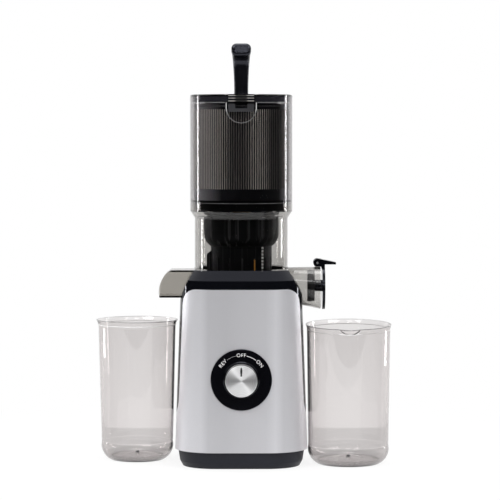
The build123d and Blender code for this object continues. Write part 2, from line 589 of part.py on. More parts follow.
def gearbox_case():
    """Open-topped cup bolted to the motor, holding the gears and the idler's axle."""
    inside = CASE_BOTTOM + CASE_FLOOR
    case = Pos(0, 0, CASE_BOTTOM) * extrude(case_outline(CASE_WALL), CASE_TOP - CASE_BOTTOM)
    for at in gearbox_ears():
        case += drum(EAR_RADIUS, CASE_TOP - EAR_HEIGHT, CASE_TOP, at)
        case -= drum(EAR_SCREW, CASE_TOP - EAR_HEIGHT, CASE_TOP, at)
    case -= Pos(0, 0, inside) * extrude(case_outline(0), CASE_TOP - CASE_BOTTOM)
    case -= motor_drum(FAN_HUB + 0.5, CASE_BOTTOM, inside)
    return case - drum(AXLE_RADIUS, CASE_BOTTOM, inside, (0, IDLER_Y))


def gearbox_cover():
    """Lid of the gearbox with the output bearing's boss."""
    top = CASE_TOP + COVER_THICKNESS
    cover = Pos(0, 0, CASE_TOP) * extrude(case_outline(CASE_WALL), COVER_THICKNESS)
    cover += drum(BEARING_BOSS, top, CASE_TOP + BEARING_LENGTH)
    for at in gearbox_ears():
        cover += drum(EAR_RADIUS, CASE_TOP, top, at)
        cover -= drum(EAR_SCREW, CASE_TOP, top, at)
    cover -= drum(DRIVE_RADIUS + BEARING_WALL, CASE_TOP, CASE_TOP + BEARING_LENGTH)
    return cover - drum(AXLE_RADIUS, CASE_TOP, top, (0, IDLER_Y))


def gearbox_screws():
    """Four long screws that hang the gearbox from the deck's posts."""
    low, top = CASE_TOP - EAR_HEIGHT, CASE_TOP + BEARING_LENGTH
    return [drum(2 * EAR_SCREW, low - 1.5 * EAR_SCREW, low, at) + drum(EAR_SCREW, low, top, at)
            for at in gearbox_ears()]


def output_bearing():
    return tube(DRIVE_RADIUS + BEARING_WALL, DRIVE_RADIUS + RUNNING_FIT, CASE_TOP, CASE_TOP + BEARING_LENGTH)


def gear_axle():
    return drum(AXLE_RADIUS, CASE_BOTTOM, CASE_TOP + COVER_THICKNESS, (0, IDLER_Y))


def idler_gear():
    """Compound gear: large first-stage wheel and small second-stage pinion in one moulding."""
    step = FIRST_STAGE_Z + FIRST_FACE
    wheel = gear(LARGE_TEETH, FIRST_MODULE, FIRST_STAGE_Z, FIRST_FACE, IDLER_Y)
    pinion = gear(SMALL_TEETH, SECOND_MODULE, step, SECOND_STAGE_Z + SECOND_FACE - step, IDLER_Y, HALF_TOOTH)
    return wheel + pinion - drum(AXLE_RADIUS + RUNNING_FIT, CASE_BOTTOM, CASE_TOP, (0, IDLER_Y))


def output_gear():
    """Second-stage wheel with a dished web."""
    wheel = gear(LARGE_TEETH, SECOND_MODULE, SECOND_STAGE_Z, SECOND_FACE, 0)
    wheel -= tube(WEB_OUTER, WEB_INNER, SECOND_STAGE_Z + WEB_FLOOR, SECOND_STAGE_Z + SECOND_FACE)
    return wheel - drum(DRIVE_RADIUS, SECOND_STAGE_Z, CASE_TOP)


def drive_shaft():
    """Output shaft: round through the bearing, hexagonal where the auger drops on."""
    round_end = drum(DRIVE_RADIUS, SECOND_STAGE_Z, HEXAGON_START)
    hexagon = RegularPolygon(DRIVE_FLATS / 2, 6, major_radius=False)
    return round_end + Pos(0, 0, HEXAGON_START) * extrude(hexagon, DRIVE_TOP - HEXAGON_START)


def deck_seal():
    """Rubber lip that keeps juice out of the drive hub."""
    return tube(DRIVE_RADIUS + HUB_CLEARANCE, DRIVE_RADIUS + 0.2, DECK_FLOOR + 2, DECK_FLOOR + HUB_HEIGHT - 1)


# Juicing bowl


def spout_solid(start_radius, shrink, reach=0.0):
    """Round spout that widens and droops towards its mouth."""
    (x0, z0, _), (x1, z1, r1) = SPOUT_START, SPOUT_END
    first = Plane(origin=(x0, 0, z0), z_dir=(1, 0, 0)) * Circle(start_radius)
    last = Plane(origin=(x1 + reach, 0, z1), z_dir=(1, 0, 0)) * Circle(r1 - shrink)
    return loft([first, last], ruled=True)


def bowl():
    """Clear bowl: floor with drive chimney, pulp duct, juice spout, shoulder and lock collar."""
    inner = BOWL_RADIUS - CLEAR_WALL
    collar_inner = COLLAR_RADIUS - CLEAR_WALL
    wall = turned([(CHIMNEY_RADIUS, BOWL_BOTTOM), (BOWL_RADIUS, BOWL_BOTTOM), (BOWL_RADIUS, SHOULDER_Z),
                   (COLLAR_RADIUS, COLLAR_Z), (COLLAR_RADIUS, COLLAR_TOP), (collar_inner, COLLAR_TOP),
                   (collar_inner, COLLAR_Z + 1), (inner, SHOULDER_Z + 1), (inner, BOWL_FLOOR),
                   (CHIMNEY_RADIUS, BOWL_FLOOR)])
    chimney = tube(CHIMNEY_RADIUS, CHIMNEY_BORE, BOWL_BOTTOM, BOWL_FLOOR + CHIMNEY_HEIGHT)
    duct_half = DUCT_HALF_WIDTH + DUCT_WALL
    duct = block((-inner - 0.5, DUCT_INNER_X), (-duct_half, duct_half), (CHUTE_FLOOR, DUCT_TOP + DUCT_WALL))
    spout = spout_solid(SPOUT_START[2], 0) - drum(inner, DECK_FLOOR, SHOULDER_Z)
    post = block((CAP_PIVOT_X - POST_RADIUS, CAP_PIVOT_X + POST_RADIUS), (-POST_HALF_WIDTH, POST_HALF_WIDTH),
                 (POST_LOW, CAP_PIVOT_Z))
    post += across_y(POST_RADIUS, -POST_HALF_WIDTH, POST_HALF_WIDTH, CAP_PIVOT_X, CAP_PIVOT_Z)
    vessel = wall + chimney + duct + spout + post
    vessel -= spout_solid(SPOUT_PORT_RADIUS, SPOUT_WALL, 0.1)
    vessel -= block((-BOWL_RADIUS - CLEAR_WALL, DUCT_INNER_X + 1), (-DUCT_HALF_WIDTH, DUCT_HALF_WIDTH),
                    (CHUTE_FLOOR + CHUTE_WALL, DUCT_TOP))
    return vessel - across_y(CAP_PIN_RADIUS, -CAP_PIN_HALF, CAP_PIN_HALF, CAP_PIVOT_X, CAP_PIVOT_Z)


def pulp_chute():
    """Clear trough on the left: closed through the deck, open at its end, with a floor longer than its roof."""
    def profile(inset):
        top, floor = CHUTE_TOP - inset, CHUTE_FLOOR + inset
        near = -BOWL_RADIUS + inset
        bulge = (CHUTE_FLOOR_END + 3.4, CHUTE_TOP - 11)
        past = 3 * inset
        return [Line((near, floor), (near, top)), Line((near, top), (CHUTE_ROOF_END - past, top)),
                ThreePointArc((CHUTE_ROOF_END - past, top), (bulge[0] - past, bulge[1]),
                              (CHUTE_FLOOR_END - past, floor)),
                Line((CHUTE_FLOOR_END - past, floor), (near, floor))]
    half = CHUTE_HALF_WIDTH
    inner_half = half - CHUTE_WALL
    hood = front_shape(profile(0), -half, half) - front_shape(profile(CHUTE_WALL), -inner_half, inner_half)
    return hood - drum(BOWL_RADIUS + RUNNING_FIT, BOWL_BOTTOM, SHOULDER_Z)


def bowl_seal():
    """Silicone lip ring on the bowl's chimney."""
    top = BOWL_FLOOR + CHIMNEY_HEIGHT - 1
    return tube(CHIMNEY_BORE, SEAL_LIP, top - 4, top)


def strainer_profile(inset):
    """Half section of the basket: straight sieve below, a swelling shoulder, then the feed ring."""
    widen, rise = FUNNEL_RADIUS - STRAINER_RADIUS, FUNNEL_Z - STRAINER_NECK
    bend = (widen ** 2 + rise ** 2) / (2 * widen)
    centre, sweep = FUNNEL_RADIUS - bend, bend - inset
    low, sieve, ring = STRAINER_BOTTOM + inset, STRAINER_RADIUS - inset, FUNNEL_RADIUS - inset
    neck = FUNNEL_Z - math.sqrt(sweep ** 2 - (sieve - centre) ** 2)
    half_turn = math.atan2(FUNNEL_Z - neck, sieve - centre) / 2
    mid = (centre + sweep * math.cos(half_turn), FUNNEL_Z - sweep * math.sin(half_turn))
    return [Line((0, low), (sieve, low)), Line((sieve, low), (sieve, neck)),
            ThreePointArc((sieve, neck), mid, (ring, FUNNEL_Z)), Line((ring, FUNNEL_Z), (ring, STRAINER_TOP)),
            Line((ring, STRAINER_TOP), (0, STRAINER_TOP)), Line((0, STRAINER_TOP), (0, low))]


def pulp_port(low):
    """Cutter for the window through which the pulp leaves the basket."""
    half = PULP_PORT_HALF_WIDTH
    return block((-STRAINER_RADIUS - 6, -STRAINER_RADIUS + 10), (-half, half), (low, PULP_PORT_TOP))


def strainer_basket():
    """Dark basket: slotted sieve wall, a column of small holes, swelling shoulder and feed ring."""
    outer = revolve(Plane.XZ * make_face(strainer_profile(0)), Axis.Z)
    inner = revolve(Plane.XZ * make_face(strainer_profile(STRAINER_WALL)), Axis.Z)
    basket = outer - inner + drum(COLLET_RADIUS, BOWL_FLOOR, STRAINER_BOTTOM + 1)
    basket -= drum(COLLET_BORE, BOWL_FLOOR, STRAINER_BOTTOM + STRAINER_WALL)
    depth = (STRAINER_RADIUS - 2 * STRAINER_WALL, STRAINER_RADIUS + STRAINER_WALL)
    slot = block(depth, (-SLOT_WIDTH / 2, SLOT_WIDTH / 2), (SLOT_LOW, SLOT_HIGH))
    for index in range(SLOT_COUNT):
        turn = SLOT_TURN + 360 * index / SLOT_COUNT
        away = math.cos(math.radians(turn - 180))
        if away < math.cos(math.radians(24)) and abs(turn - 360 - HOLE_TURN) > 10:
            basket -= Rot(0, 0, turn) * slot
    for index in range(HOLE_COUNT):
        basket -= Rot(0, 0, HOLE_TURN) * across_x(HOLE_RADIUS, *depth, 0, HOLE_LOW + index * HOLE_PITCH)
    return basket + guide_rib() - pulp_port(STRAINER_BOTTOM + STRAINER_WALL)


def guide_rib():
    """Rib above the pulp port that keeps the basket from turning in the bowl."""
    start, run = -STRAINER_RADIUS + STRAINER_WALL / 2, GUIDE_REACH - STRAINER_RADIUS
    outline = Polyline((start, GUIDE_LOW), (-GUIDE_REACH, GUIDE_LOW), (-GUIDE_REACH, GUIDE_HIGH - run),
                       (start, GUIDE_HIGH), close=True)
    return front_shape(outline, -GUIDE_HALF_WIDTH, GUIDE_HALF_WIDTH)


def strainer_mesh():
    """Perforated steel sleeve inside the basket, open where the pulp leaves and at the sight slot."""
    outer = STRAINER_RADIUS - STRAINER_WALL
    sleeve = tube(outer, outer - MESH_THICKNESS, STRAINER_BOTTOM + STRAINER_WALL + 1, MESH_TOP)
    sight = block((outer - 4, outer + 4), (-SLOT_WIDTH, SLOT_WIDTH), (WINDOW_LOW, WINDOW_HIGH))
    return sleeve - pulp_port(STRAINER_BOTTOM) - Rot(0, 0, SLOT_TURN) * sight


def auger():
    """Press screw: tapered core with twin flights that close up against the sieve."""
    low, high = AUGER_BOTTOM, AUGER_TOP
    core = turned([(0, low), (CORE_FOOT, low), (CORE_KNEE, low + 12), (CORE_NECK, high - 14), (CORE_HEAD, high),
                   (CORE_TIP, high + TIP_HEIGHT - 3), (0, high + TIP_HEIGHT)])
    fin = Rectangle(2 * AUGER_RADIUS + 4, FLIGHT_WIDTH)
    flight = Pos(0, 0, low - 1) * Solid.extrude_linear_with_rotation(
        fin.face(), (0, 0, 0), (0, 0, high - low + 2), AUGER_TWIST)
    envelope = turned([(0, low), (AUGER_RADIUS, low), (AUGER_RADIUS, high - 26),
                       (AUGER_RADIUS - 6, high - 8), (CORE_HEAD + 2, high), (0, high)])
    screw = core + (flight & envelope) + drum(JOURNAL_RADIUS, JOURNAL_BOTTOM, low)
    return screw - drum(SOCKET_RADIUS, JOURNAL_BOTTOM, SOCKET_TOP)


def auger_socket():
    """Steel hexagon socket moulded into the auger's foot."""
    bush = drum(SOCKET_RADIUS, JOURNAL_BOTTOM, SOCKET_TOP)
    bush -= drum(DRIVE_RADIUS + 0.4, JOURNAL_BOTTOM, JOURNAL_BOTTOM + 1)
    hexagon = RegularPolygon(DRIVE_FLATS / 2 + SOCKET_FIT, 6, major_radius=False)
    return bush - Pos(0, 0, JOURNAL_BOTTOM) * extrude(hexagon, SOCKET_DEPTH - 1)


def cutter_blade():
    """Steel feed blade on the auger's head that draws whole produce down."""
    low, half = AUGER_TOP + BLADE_LEVEL, BLADE_WIDTH / 2
    arm = Pos(0, 0, low) * Box(2 * BLADE_REACH, BLADE_WIDTH, BLADE_GAUGE, align=BOTTOM)
    hook = block((BLADE_REACH - HOOK_GAUGE, BLADE_REACH), (-half, half), (low, low + HOOK_HEIGHT))
    hub = drum(6, low, low + 6)
    return arm + hook + hub - auger()


# Juice cap


def cap_lever():
    """Cap plate, stem and thumb lever in one black moulding, forked over the spout's post."""
    plate = across_x(CAP_PLATE_RADIUS, CAP_PLATE_X, CAP_PLATE_X + CAP_PLATE_THICKNESS, 0, CAP_PLATE_Z)
    stem = across_x(STEM_RADIUS, STOPPER_X + 4, CAP_PLATE_X + 1, 0, STOPPER_Z)
    px, pz = CAP_PIVOT_X, CAP_PIVOT_Z
    lever = [Line((px + 5.8, pz - 9), (px + 9.2, pz - 9)), Line((px + 9.2, pz - 9), (px + 9.2, pz - 2)),
             Line((px + 9.2, pz - 2), (px + 23, pz - 2)), Line((px + 23, pz - 2), (px + 23, pz + 0.6)),
             ThreePointArc((px + 23, pz + 0.6), (px + 12, pz + 3), (px, pz + 5.2)),
             ThreePointArc((px, pz + 5.2), (px - 5.2, pz), (px - 1.6, pz - 4.7)),
             Line((px - 1.6, pz - 4.7), (px + 4.4, pz - 4.7)), Line((px + 4.4, pz - 4.7), (px + 5.8, pz - 9))]
    body = front_shape(lever, -CAP_HALF_WIDTH, CAP_HALF_WIDTH)
    body -= block((px - 9, px + 5.4), (-FORK_HALF_GAP, FORK_HALF_GAP), (pz - 12, pz + 9))
    body -= across_y(CAP_PIN_RADIUS + RUNNING_FIT, -CAP_PIN_HALF, CAP_PIN_HALF, px, pz)
    return plate + stem + body


def cap_stopper():
    """Silicone plug with a sealing lip, pushed on the cap's stem."""
    x = STOPPER_X
    plug = across_x(STOPPER_RADIUS, x, x + STOPPER_LENGTH, 0, STOPPER_Z)
    plug += across_x(STOPPER_RADIUS + STOPPER_LIP, x + 2.4, x + 4.2, 0, STOPPER_Z)
    return plug - across_x(STEM_RADIUS, x + 4, x + 2 * STOPPER_LENGTH, 0, STOPPER_Z)


def cap_pin():
    return across_y(CAP_PIN_RADIUS, -CAP_PIN_HALF, CAP_PIN_HALF, CAP_PIVOT_X, CAP_PIVOT_Z)


# Hopper and lid


def tongue_shape(grow):
    """U-shaped outline of the lid's front tongue in the front view."""
    radius, z, top = TONGUE_RADIUS + grow, TONGUE_CENTRE_Z, LID_TOP + HINGE_RADIUS
    edges = [Line((-radius, z), (-radius, top)), Line((-radius, top), (radius, top)), Line((radius, top), (radius, z)),
             ThreePointArc((radius, z), (0, z - radius), (-radius, z))]
    return front_shape(edges, -2 * COLLAR_RADIUS, -COLLAR_RADIUS / 2)


def hopper_shell():
    """Clear outer drum with a lock spigot below, a front notch and rear hinge lugs."""
    inner = COLLAR_RADIUS - CLEAR_WALL
    spigot = inner - SPIGOT_GAP
    step = COLLAR_TOP + LID_GAP
    shell = turned([(spigot - CLEAR_WALL, SPIGOT_BOTTOM), (spigot, SPIGOT_BOTTOM), (spigot, step),
                    (COLLAR_RADIUS, step), (COLLAR_RADIUS, HOPPER_TOP), (inner, HOPPER_TOP), (inner, FLOOR_TOP),
                    (spigot - CLEAR_WALL, FLOOR_TOP)])
    shell -= tongue_shape(TONGUE_GAP)
    low = HINGE_Z - 14
    lid_room = block((-LUG_OUTER - 6, LUG_OUTER + 6), (40, HINGE_Y - HINGE_RADIUS - 0.2), (HOPPER_TOP, LID_TOP + 20))
    for span in ((-LUG_OUTER, -LUG_INNER), (LUG_INNER, LUG_OUTER)):
        lug = across_x(HINGE_RADIUS, *span, HINGE_Y, HINGE_Z)
        lug += block(span, (COLLAR_RADIUS - 2, HINGE_Y), (low, HINGE_Z - 4))
        lug += block(span, (HINGE_Y - 3.6, HINGE_Y + HINGE_RADIUS), (low, HINGE_Z))
        shell += lug - drum(inner, low - 10, LID_TOP) - lid_room
    return shell - across_x(HINGE_PIN_RADIUS, -LUG_OUTER, LUG_OUTER, HINGE_Y, HINGE_Z)


def flutes(bore):
    """Ring of half-round upright flutes round the liner."""
    root, pitch = LINER_RADIUS - FLUTE_PROUD, 2 * math.pi / FLUTE_COUNT
    half = pitch * FLUTE_SHARE / 2

    def at(radius, angle):
        return (radius * math.cos(angle), radius * math.sin(angle))

    edges = []
    for index in range(FLUTE_COUNT):
        crest = index * pitch
        edges.append(ThreePointArc(at(root, crest - half), at(LINER_RADIUS, crest), at(root, crest + half)))
        edges.append(Line(at(root, crest + half), at(root, crest + pitch - half)))
    ring = Pos(0, 0, RIB_START) * extrude(make_face(edges), RIB_END - RIB_START)
    return ring - drum(bore, RIB_START, RIB_END)


def hopper_liner():
    """Dark inner drum, fluted outside, with inner ribs that stop produce from turning with the blade."""
    bore = LINER_RADIUS - LINER_WALL
    liner = tube(LINER_RADIUS - FLUTE_PROUD, bore, FLOOR_TOP, LINER_TOP) + flutes(bore)
    rib = block((bore - RIB_HEIGHT, bore + 0.5), (-RIB_WIDTH / 2, RIB_WIDTH / 2), (RIB_START, RIB_END))
    ribs = [Rot(0, 0, 360 * index / RIB_COUNT) * rib for index in range(RIB_COUNT)]
    return liner + ribs


def feed_cone():
    """Dark hopper floor: flat ring that carries the liner, outer sleeve, and funnel into the basket."""
    ring = COLLAR_RADIUS - 2 * CLEAR_WALL - SPIGOT_GAP - 0.2
    under = FLOOR_TOP - FLOOR_THICKNESS
    sleeve_bore = SLEEVE_RADIUS - LINER_WALL
    throat = STRAINER_TOP + 1
    return turned([(FEED_RADIUS, FLOOR_TOP), (ring, FLOOR_TOP), (ring, under), (SLEEVE_RADIUS, under),
                   (SLEEVE_RADIUS, SLEEVE_BOTTOM), (sleeve_bore, SLEEVE_BOTTOM), (sleeve_bore, under),
                   (FEED_RADIUS + 2.4, under), (FUNNEL_RADIUS, throat + 2.5), (THROAT_RADIUS, throat),
                   (THROAT_RADIUS, throat + 3), (THROAT_RADIUS + 3, throat + 5)])


def lid_hinge_pin():
    return across_x(HINGE_PIN_RADIUS, -LUG_OUTER, LUG_OUTER, HINGE_Y, HINGE_Z)


def lid_cover():
    """Clear flip lid: flat top, skirt flush with the hopper, ridged front tab and tongue, rear knuckle."""
    low, inner, under = HOPPER_TOP + LID_GAP, COLLAR_RADIUS - CLEAR_WALL, LID_TOP - CLEAR_WALL
    cover = turned([(0, under), (inner, under), (inner, low), (COLLAR_RADIUS, low),
                    (COLLAR_RADIUS, LID_TOP - LID_EDGE), (COLLAR_RADIUS - LID_EDGE, LID_TOP), (0, LID_TOP)])
    proud = COLLAR_RADIUS + TAB_PROUD
    tab = block((-TAB_HALF_WIDTH, TAB_HALF_WIDTH), (-proud, -inner - 0.1), (low, LID_TOP))
    for z in TAB_GROOVES:
        tab -= block((-proud, proud), (-proud - 1, -proud + 1), (z - TAB_GROOVE / 2, z + TAB_GROOVE / 2))
    tongue = tube(COLLAR_RADIUS, inner, TONGUE_CENTRE_Z - 2 * TONGUE_RADIUS, LID_TOP - LID_EDGE) & tongue_shape(0)
    knuckle = across_x(HINGE_RADIUS, -KNUCKLE_HALF, KNUCKLE_HALF, HINGE_Y, HINGE_Z)
    knuckle += block((-KNUCKLE_HALF, KNUCKLE_HALF), (COLLAR_RADIUS - 2, HINGE_Y), (HINGE_Z, HINGE_Z + HINGE_RADIUS))
    cover += tab + tongue + knuckle
    cover -= across_x(HINGE_PIN_RADIUS + RUNNING_FIT, -LUG_OUTER, LUG_OUTER, HINGE_Y, HINGE_Z)
    return cover - handle_root()


def lid_insert():
    """Black disc under the lid that carries the handle and closes the liner's mouth."""
    disc = drum(INSERT_RADIUS, INSERT_LOW, LID_TOP - CLEAR_WALL)
    plug = turned([(0, PLUG_LOW), (PLUG_RADIUS, PLUG_LOW), (PLUG_TOP_RADIUS, INSERT_LOW), (0, INSERT_LOW)])
    return disc + plug - drum(PLUG_HOLLOW, PLUG_LOW, INSERT_LOW - 2) - handle_root()


def handle_root():
    """Square shank of the handle where it passes through the lid."""
    return block((-ROOT_HALF_WIDTH, ROOT_HALF_WIDTH), (HANDLE_Y - ROOT_HALF_DEPTH, HANDLE_Y + ROOT_HALF_DEPTH),
                 (ROOT_LOW, LID_TOP))


def lid_handle():
    """Upright grip that widens upwards and bends forward into a blunt nose."""
    def section(height, angle):
        turn, full_turn = math.radians(angle), math.radians(HANDLE_BEND_ANGLE)
        share = (height + HANDLE_BEND * turn) / (HANDLE_STRAIGHT + HANDLE_BEND * full_turn)
        width = HANDLE_WIDTH_LOW + (HANDLE_WIDTH_HIGH - HANDLE_WIDTH_LOW) * share ** 2
        depth = HANDLE_DEPTH_LOW + (HANDLE_DEPTH_HIGH - HANDLE_DEPTH_LOW) * share
        plane = Plane(origin=(0, HANDLE_Y - HANDLE_BEND * (1 - math.cos(turn)),
                              LID_TOP + height + HANDLE_BEND * math.sin(turn)),
                      x_dir=(1, 0, 0), z_dir=(0, -math.sin(turn), math.cos(turn)))
        return plane * RectangleRounded(width, depth, depth * HANDLE_ROUND)

    bend = [section(HANDLE_STRAIGHT, HANDLE_BEND_ANGLE * step / 3) for step in range(4)]
    grip = loft([section(0, 0), section(HANDLE_STRAIGHT / 2, 0), *bend])
    nose = grip.faces().sort_by(Axis.Y)[0]
    return fillet(nose.edges(), NOSE_ROUND) + handle_root()


def handle_screws():
    return [drum(HANDLE_SCREW_RADIUS, ROOT_LOW - HANDLE_SCREW_HEIGHT, ROOT_LOW, (x, HANDLE_Y))
            for x in (-HANDLE_SCREW_X, HANDLE_SCREW_X)]


# Vessels


def cup_profile(cup, inset):
    """Half section: domed floor, rounded heel, slightly tapered wall and a flared lip."""
    top, low, height, lip = cup["top"] - inset, cup["low"] - inset, cup["height"], cup["rim"] - inset
    floor = CUP_FLOOR if inset else 0.0
    across, rise = CUP_HEEL_WIDTH - inset, CUP_HEEL_HEIGHT - inset
    cut = 1 - math.sqrt(0.5)
    ring, bend = low - across, (height - FLARE_HEIGHT)
    return [ThreePointArc((0, floor + CUP_DOME), (ring / 2, floor + 0.75 * CUP_DOME), (ring, floor)),
            ThreePointArc((ring, floor), (low - across * cut, floor + rise * cut), (low, floor + rise)),
            Line((low, floor + rise), (top, bend)),
            ThreePointArc((top, bend), (top + (lip - top) * 0.3, height - FLARE_HEIGHT * 0.46), (lip, height)),
            Line((lip, height), (0, height)), Line((0, height), (0, floor + CUP_DOME))]


def vessel(cup):
    """Outer form with its moulding gate under the floor, and the hollow inside."""
    outer = revolve(Plane.XZ * make_face(cup_profile(cup, 0)), Axis.Z)
    outer += drum(GATE_RADIUS, CUP_DOME - GATE_HEIGHT, CUP_DOME + CUP_FLOOR / 2)
    inner = revolve(Plane.XZ * make_face(cup_profile(cup, CUP_WALL)), Axis.Z)
    return outer, inner


def pulp_cup():
    outer, inner = vessel(PULP_CUP)
    return Pos(PULP_CUP["x"], PULP_CUP["y"], 0) * (outer - inner)


def juice_jug():
    """Jug with a scooped pouring lip at the front and a rim that falls towards it."""
    outer, inner = vessel(JUICE_JUG)
    height, rim = JUICE_JUG["height"], JUICE_JUG["rim"]

    def lip(inset):
        scoop = Pos(0, -rim + LIP_SETBACK, height + LIP_RISE) * Sphere(LIP_RADIUS - inset)
        return scoop & drum(2 * rim, 0, height)

    above = Pos(0, 0, JUG_MID_HEIGHT) * Rot(JUG_TILT, 0, 0) * Box(4 * rim, 4 * rim, rim, align=BOTTOM)
    body = (outer + lip(0)) - (inner + lip(CUP_WALL)) - above
    return Pos(JUICE_JUG["x"], JUICE_JUG["y"], 0) * body


PIECES = {
    "front_panel": front_panel,
    "main_housing": main_housing,
    "top_deck": top_deck,
    "foot_base": foot_base,
    "rubber_feet": rubber_feet,
    "base_screws": base_screws,
    "cord_gland": cord_gland,
    "dial_ring": dial_ring,
    "rotary_switch": rotary_switch,
    "control_board": control_board,
    "knob_cap": knob_cap,
    "knob_pointer": knob_pointer,
    "knob_skirt": knob_skirt,
    "knob_spindle": knob_spindle,
    "motor_can": motor_can,
    "motor_end_cap": motor_end_cap,
    "stator": stator,
    "armature": armature,
    "pinion_shaft": pinion_shaft,
    "cooling_fan": cooling_fan,
    "gearbox_case": gearbox_case,
    "gearbox_cover": gearbox_cover,
    "gearbox_screws": gearbox_screws,
    "output_bearing": output_bearing,
    "gear_axle": gear_axle,
    "idler_gear": idler_gear,
    "output_gear": output_gear,
    "drive_shaft": drive_shaft,
    "deck_seal": deck_seal,
    "bowl": bowl,
    "pulp_chute": pulp_chute,
    "bowl_seal": bowl_seal,
    "strainer_basket": strainer_basket,
    "strainer_mesh": strainer_mesh,
    "auger": auger,
    "auger_socket": auger_socket,
    "cutter_blade": cutter_blade,
    "cap_lever": cap_lever,
    "cap_stopper": cap_stopper,
    "cap_pin": cap_pin,
    "hopper_shell": hopper_shell,
    "hopper_liner": hopper_liner,
    "feed_cone": feed_cone,
    "lid_hinge_pin": lid_hinge_pin,
    "lid_cover": lid_cover,
    "lid_insert": lid_insert,
    "lid_handle": lid_handle,
    "handle_screws": handle_screws,
    "pulp_cup": pulp_cup,
    "juice_jug": juice_jug,
}


def main():
    os.makedirs("parts", exist_ok=True)
    for name, make in PIECES.items():
        made = make()
        solids = made if isinstance(made, list) else made.solids()
        shape = Compound(children=[Solid(s.solids()[0].wrapped) for s in solids])
        export_step(shape, f"parts/{name}.step")


main()
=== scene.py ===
import json
import math

import bmesh
import bpy
from mathutils import Matrix, Vector


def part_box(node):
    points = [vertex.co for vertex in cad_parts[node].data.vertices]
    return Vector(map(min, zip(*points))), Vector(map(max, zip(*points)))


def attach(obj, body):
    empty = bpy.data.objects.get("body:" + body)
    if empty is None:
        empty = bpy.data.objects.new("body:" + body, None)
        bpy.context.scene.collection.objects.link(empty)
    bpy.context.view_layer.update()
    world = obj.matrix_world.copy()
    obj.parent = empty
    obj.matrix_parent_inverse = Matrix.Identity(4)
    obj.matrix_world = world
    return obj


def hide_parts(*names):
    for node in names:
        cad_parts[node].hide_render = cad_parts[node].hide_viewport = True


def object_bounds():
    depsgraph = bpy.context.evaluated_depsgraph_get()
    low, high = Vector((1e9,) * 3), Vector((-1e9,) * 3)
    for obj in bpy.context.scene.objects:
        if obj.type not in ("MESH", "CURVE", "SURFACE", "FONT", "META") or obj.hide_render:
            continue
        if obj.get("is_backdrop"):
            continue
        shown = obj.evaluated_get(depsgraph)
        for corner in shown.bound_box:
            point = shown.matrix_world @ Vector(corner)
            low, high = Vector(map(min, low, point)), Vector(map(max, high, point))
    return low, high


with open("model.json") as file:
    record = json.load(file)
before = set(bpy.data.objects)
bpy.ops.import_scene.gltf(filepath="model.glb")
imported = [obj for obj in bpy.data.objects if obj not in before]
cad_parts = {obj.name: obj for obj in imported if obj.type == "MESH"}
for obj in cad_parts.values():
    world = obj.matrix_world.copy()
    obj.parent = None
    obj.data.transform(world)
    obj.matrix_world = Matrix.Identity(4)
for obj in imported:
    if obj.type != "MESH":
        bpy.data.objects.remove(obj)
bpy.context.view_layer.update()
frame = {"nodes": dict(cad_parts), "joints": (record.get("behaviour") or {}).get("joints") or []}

# Looks of a vertical slow juicer: a finish for every imported piece, the dial's print, the fluted
# liner, pale beads painted as lines of light on clear edges, the basket's studs painted as points
# of light and its wiper, a white sweep, studio light and the camera. Metres, in the frame of the
# imported model.

MM = 0.001

# Camera: level with the hopper, far back, tipped slightly down. Its lens and sensor are in millimetres.
CAMERA_PLACE = Vector((0.0, -2.875, 0.4165))
CAMERA_DIP, CAMERA_TURN = math.radians(3.036), math.radians(-0.217)
CAMERA_LENS, SENSOR_WIDTH = 166.4, 36.0
VIEW_DEPTH = 100.0

# Room: one level for matt surfaces. For gloss and glass it is dark ahead and at the sides, and white
# behind and above. Its limits are parts of a direction of length 1.
AMBIENT = 0.62
ROOM_DARK = 0.015
ROOM_SIDE, ROOM_BACK = 0.35, 0.80
ROOM_HIGH, ROOM_TOP = 0.25, 0.65

# Floor: its size and tones, its glow to the camera and in glass, how far the shadow reaches, and the
# far edge of the duller table that glass shows.
FLOOR_HALF_WIDTH, FLOOR_FRONT, FLOOR_BACK = 2.0, -1.0, 15.0
FLOOR_TONES, FLOOR_PATCHES = (0.90, 0.92), 0.8
FLOOR_GLOW, FLOOR_GLOW_IN_GLASS = 0.86, 0.8
SHADOW_NEAR, SHADOW_FAR = 0.16, 0.60
TABLE_TONE, TABLE_EDGE, TABLE_FADE = 0.74, 0.316, 0.04

# Lamps: place, size and watts of each soft box. The strips stand beside and behind the object, at an
# angle from the camera's direction.
SOFT_BOXES = {
    "key_box": ((-1.3, -1.5, 1.9), (1.2, 1.2), 26.0),
    "fill_box": ((1.5, -1.3, 1.5), (1.2, 1.2), 17.0),
    "top_box": ((0.0, 0.3, 2.4), (1.4, 1.0), 16.0),
    "front_box": ((0.0, -1.8, 1.6), (0.5, 0.3), 2.0),
}
LIT_MIDDLE = Vector((0, 0, 0.25))
NOSE_PLACE, NOSE_SIZE, NOSE_WATTS = (0.12, -2.5, 1.08), (0.25, 0.12), 1.6
STRIP_DISTANCE, STRIP_SIZE, STRIP_WATTS = 1.2, (0.07, 1.2), 4.0
STRIP_ANGLES = {"strip_left": -113.5, "strip_right": 118.5}

# Where texture values mostly lie, where a ramp of two colours starts and ends, and a fine grain's scale.
TEXTURE_LOW, TEXTURE_HIGH = 0.25, 0.75
RAMP_LOW, RAMP_HIGH = 0.3, 0.7
FINE_GRAIN = 900.0

# White, no tint, and the bluish gloss of the black mouldings.
WHITE = (1.0, 1.0, 1.0, 1.0)
NO_TINT = (1.0, 1.0, 1.0)
COOL_GLOSS = (0.80, 0.83, 1.0, 1.0)

# Painted highlights: pale beads as lines of light along the edges of the clear mouldings, and the gap
# at the hopper's front notch.
EDGE_BEAD, SEAM_BEAD, RIM_BEAD = 0.45 * MM, 0.32 * MM, 0.4 * MM
BEAD_ROUNDING = 2
CIRCLE_STEPS = 96
LID_SEAM = 446.8 * MM
NOTCH_GAP = math.radians(18.5)
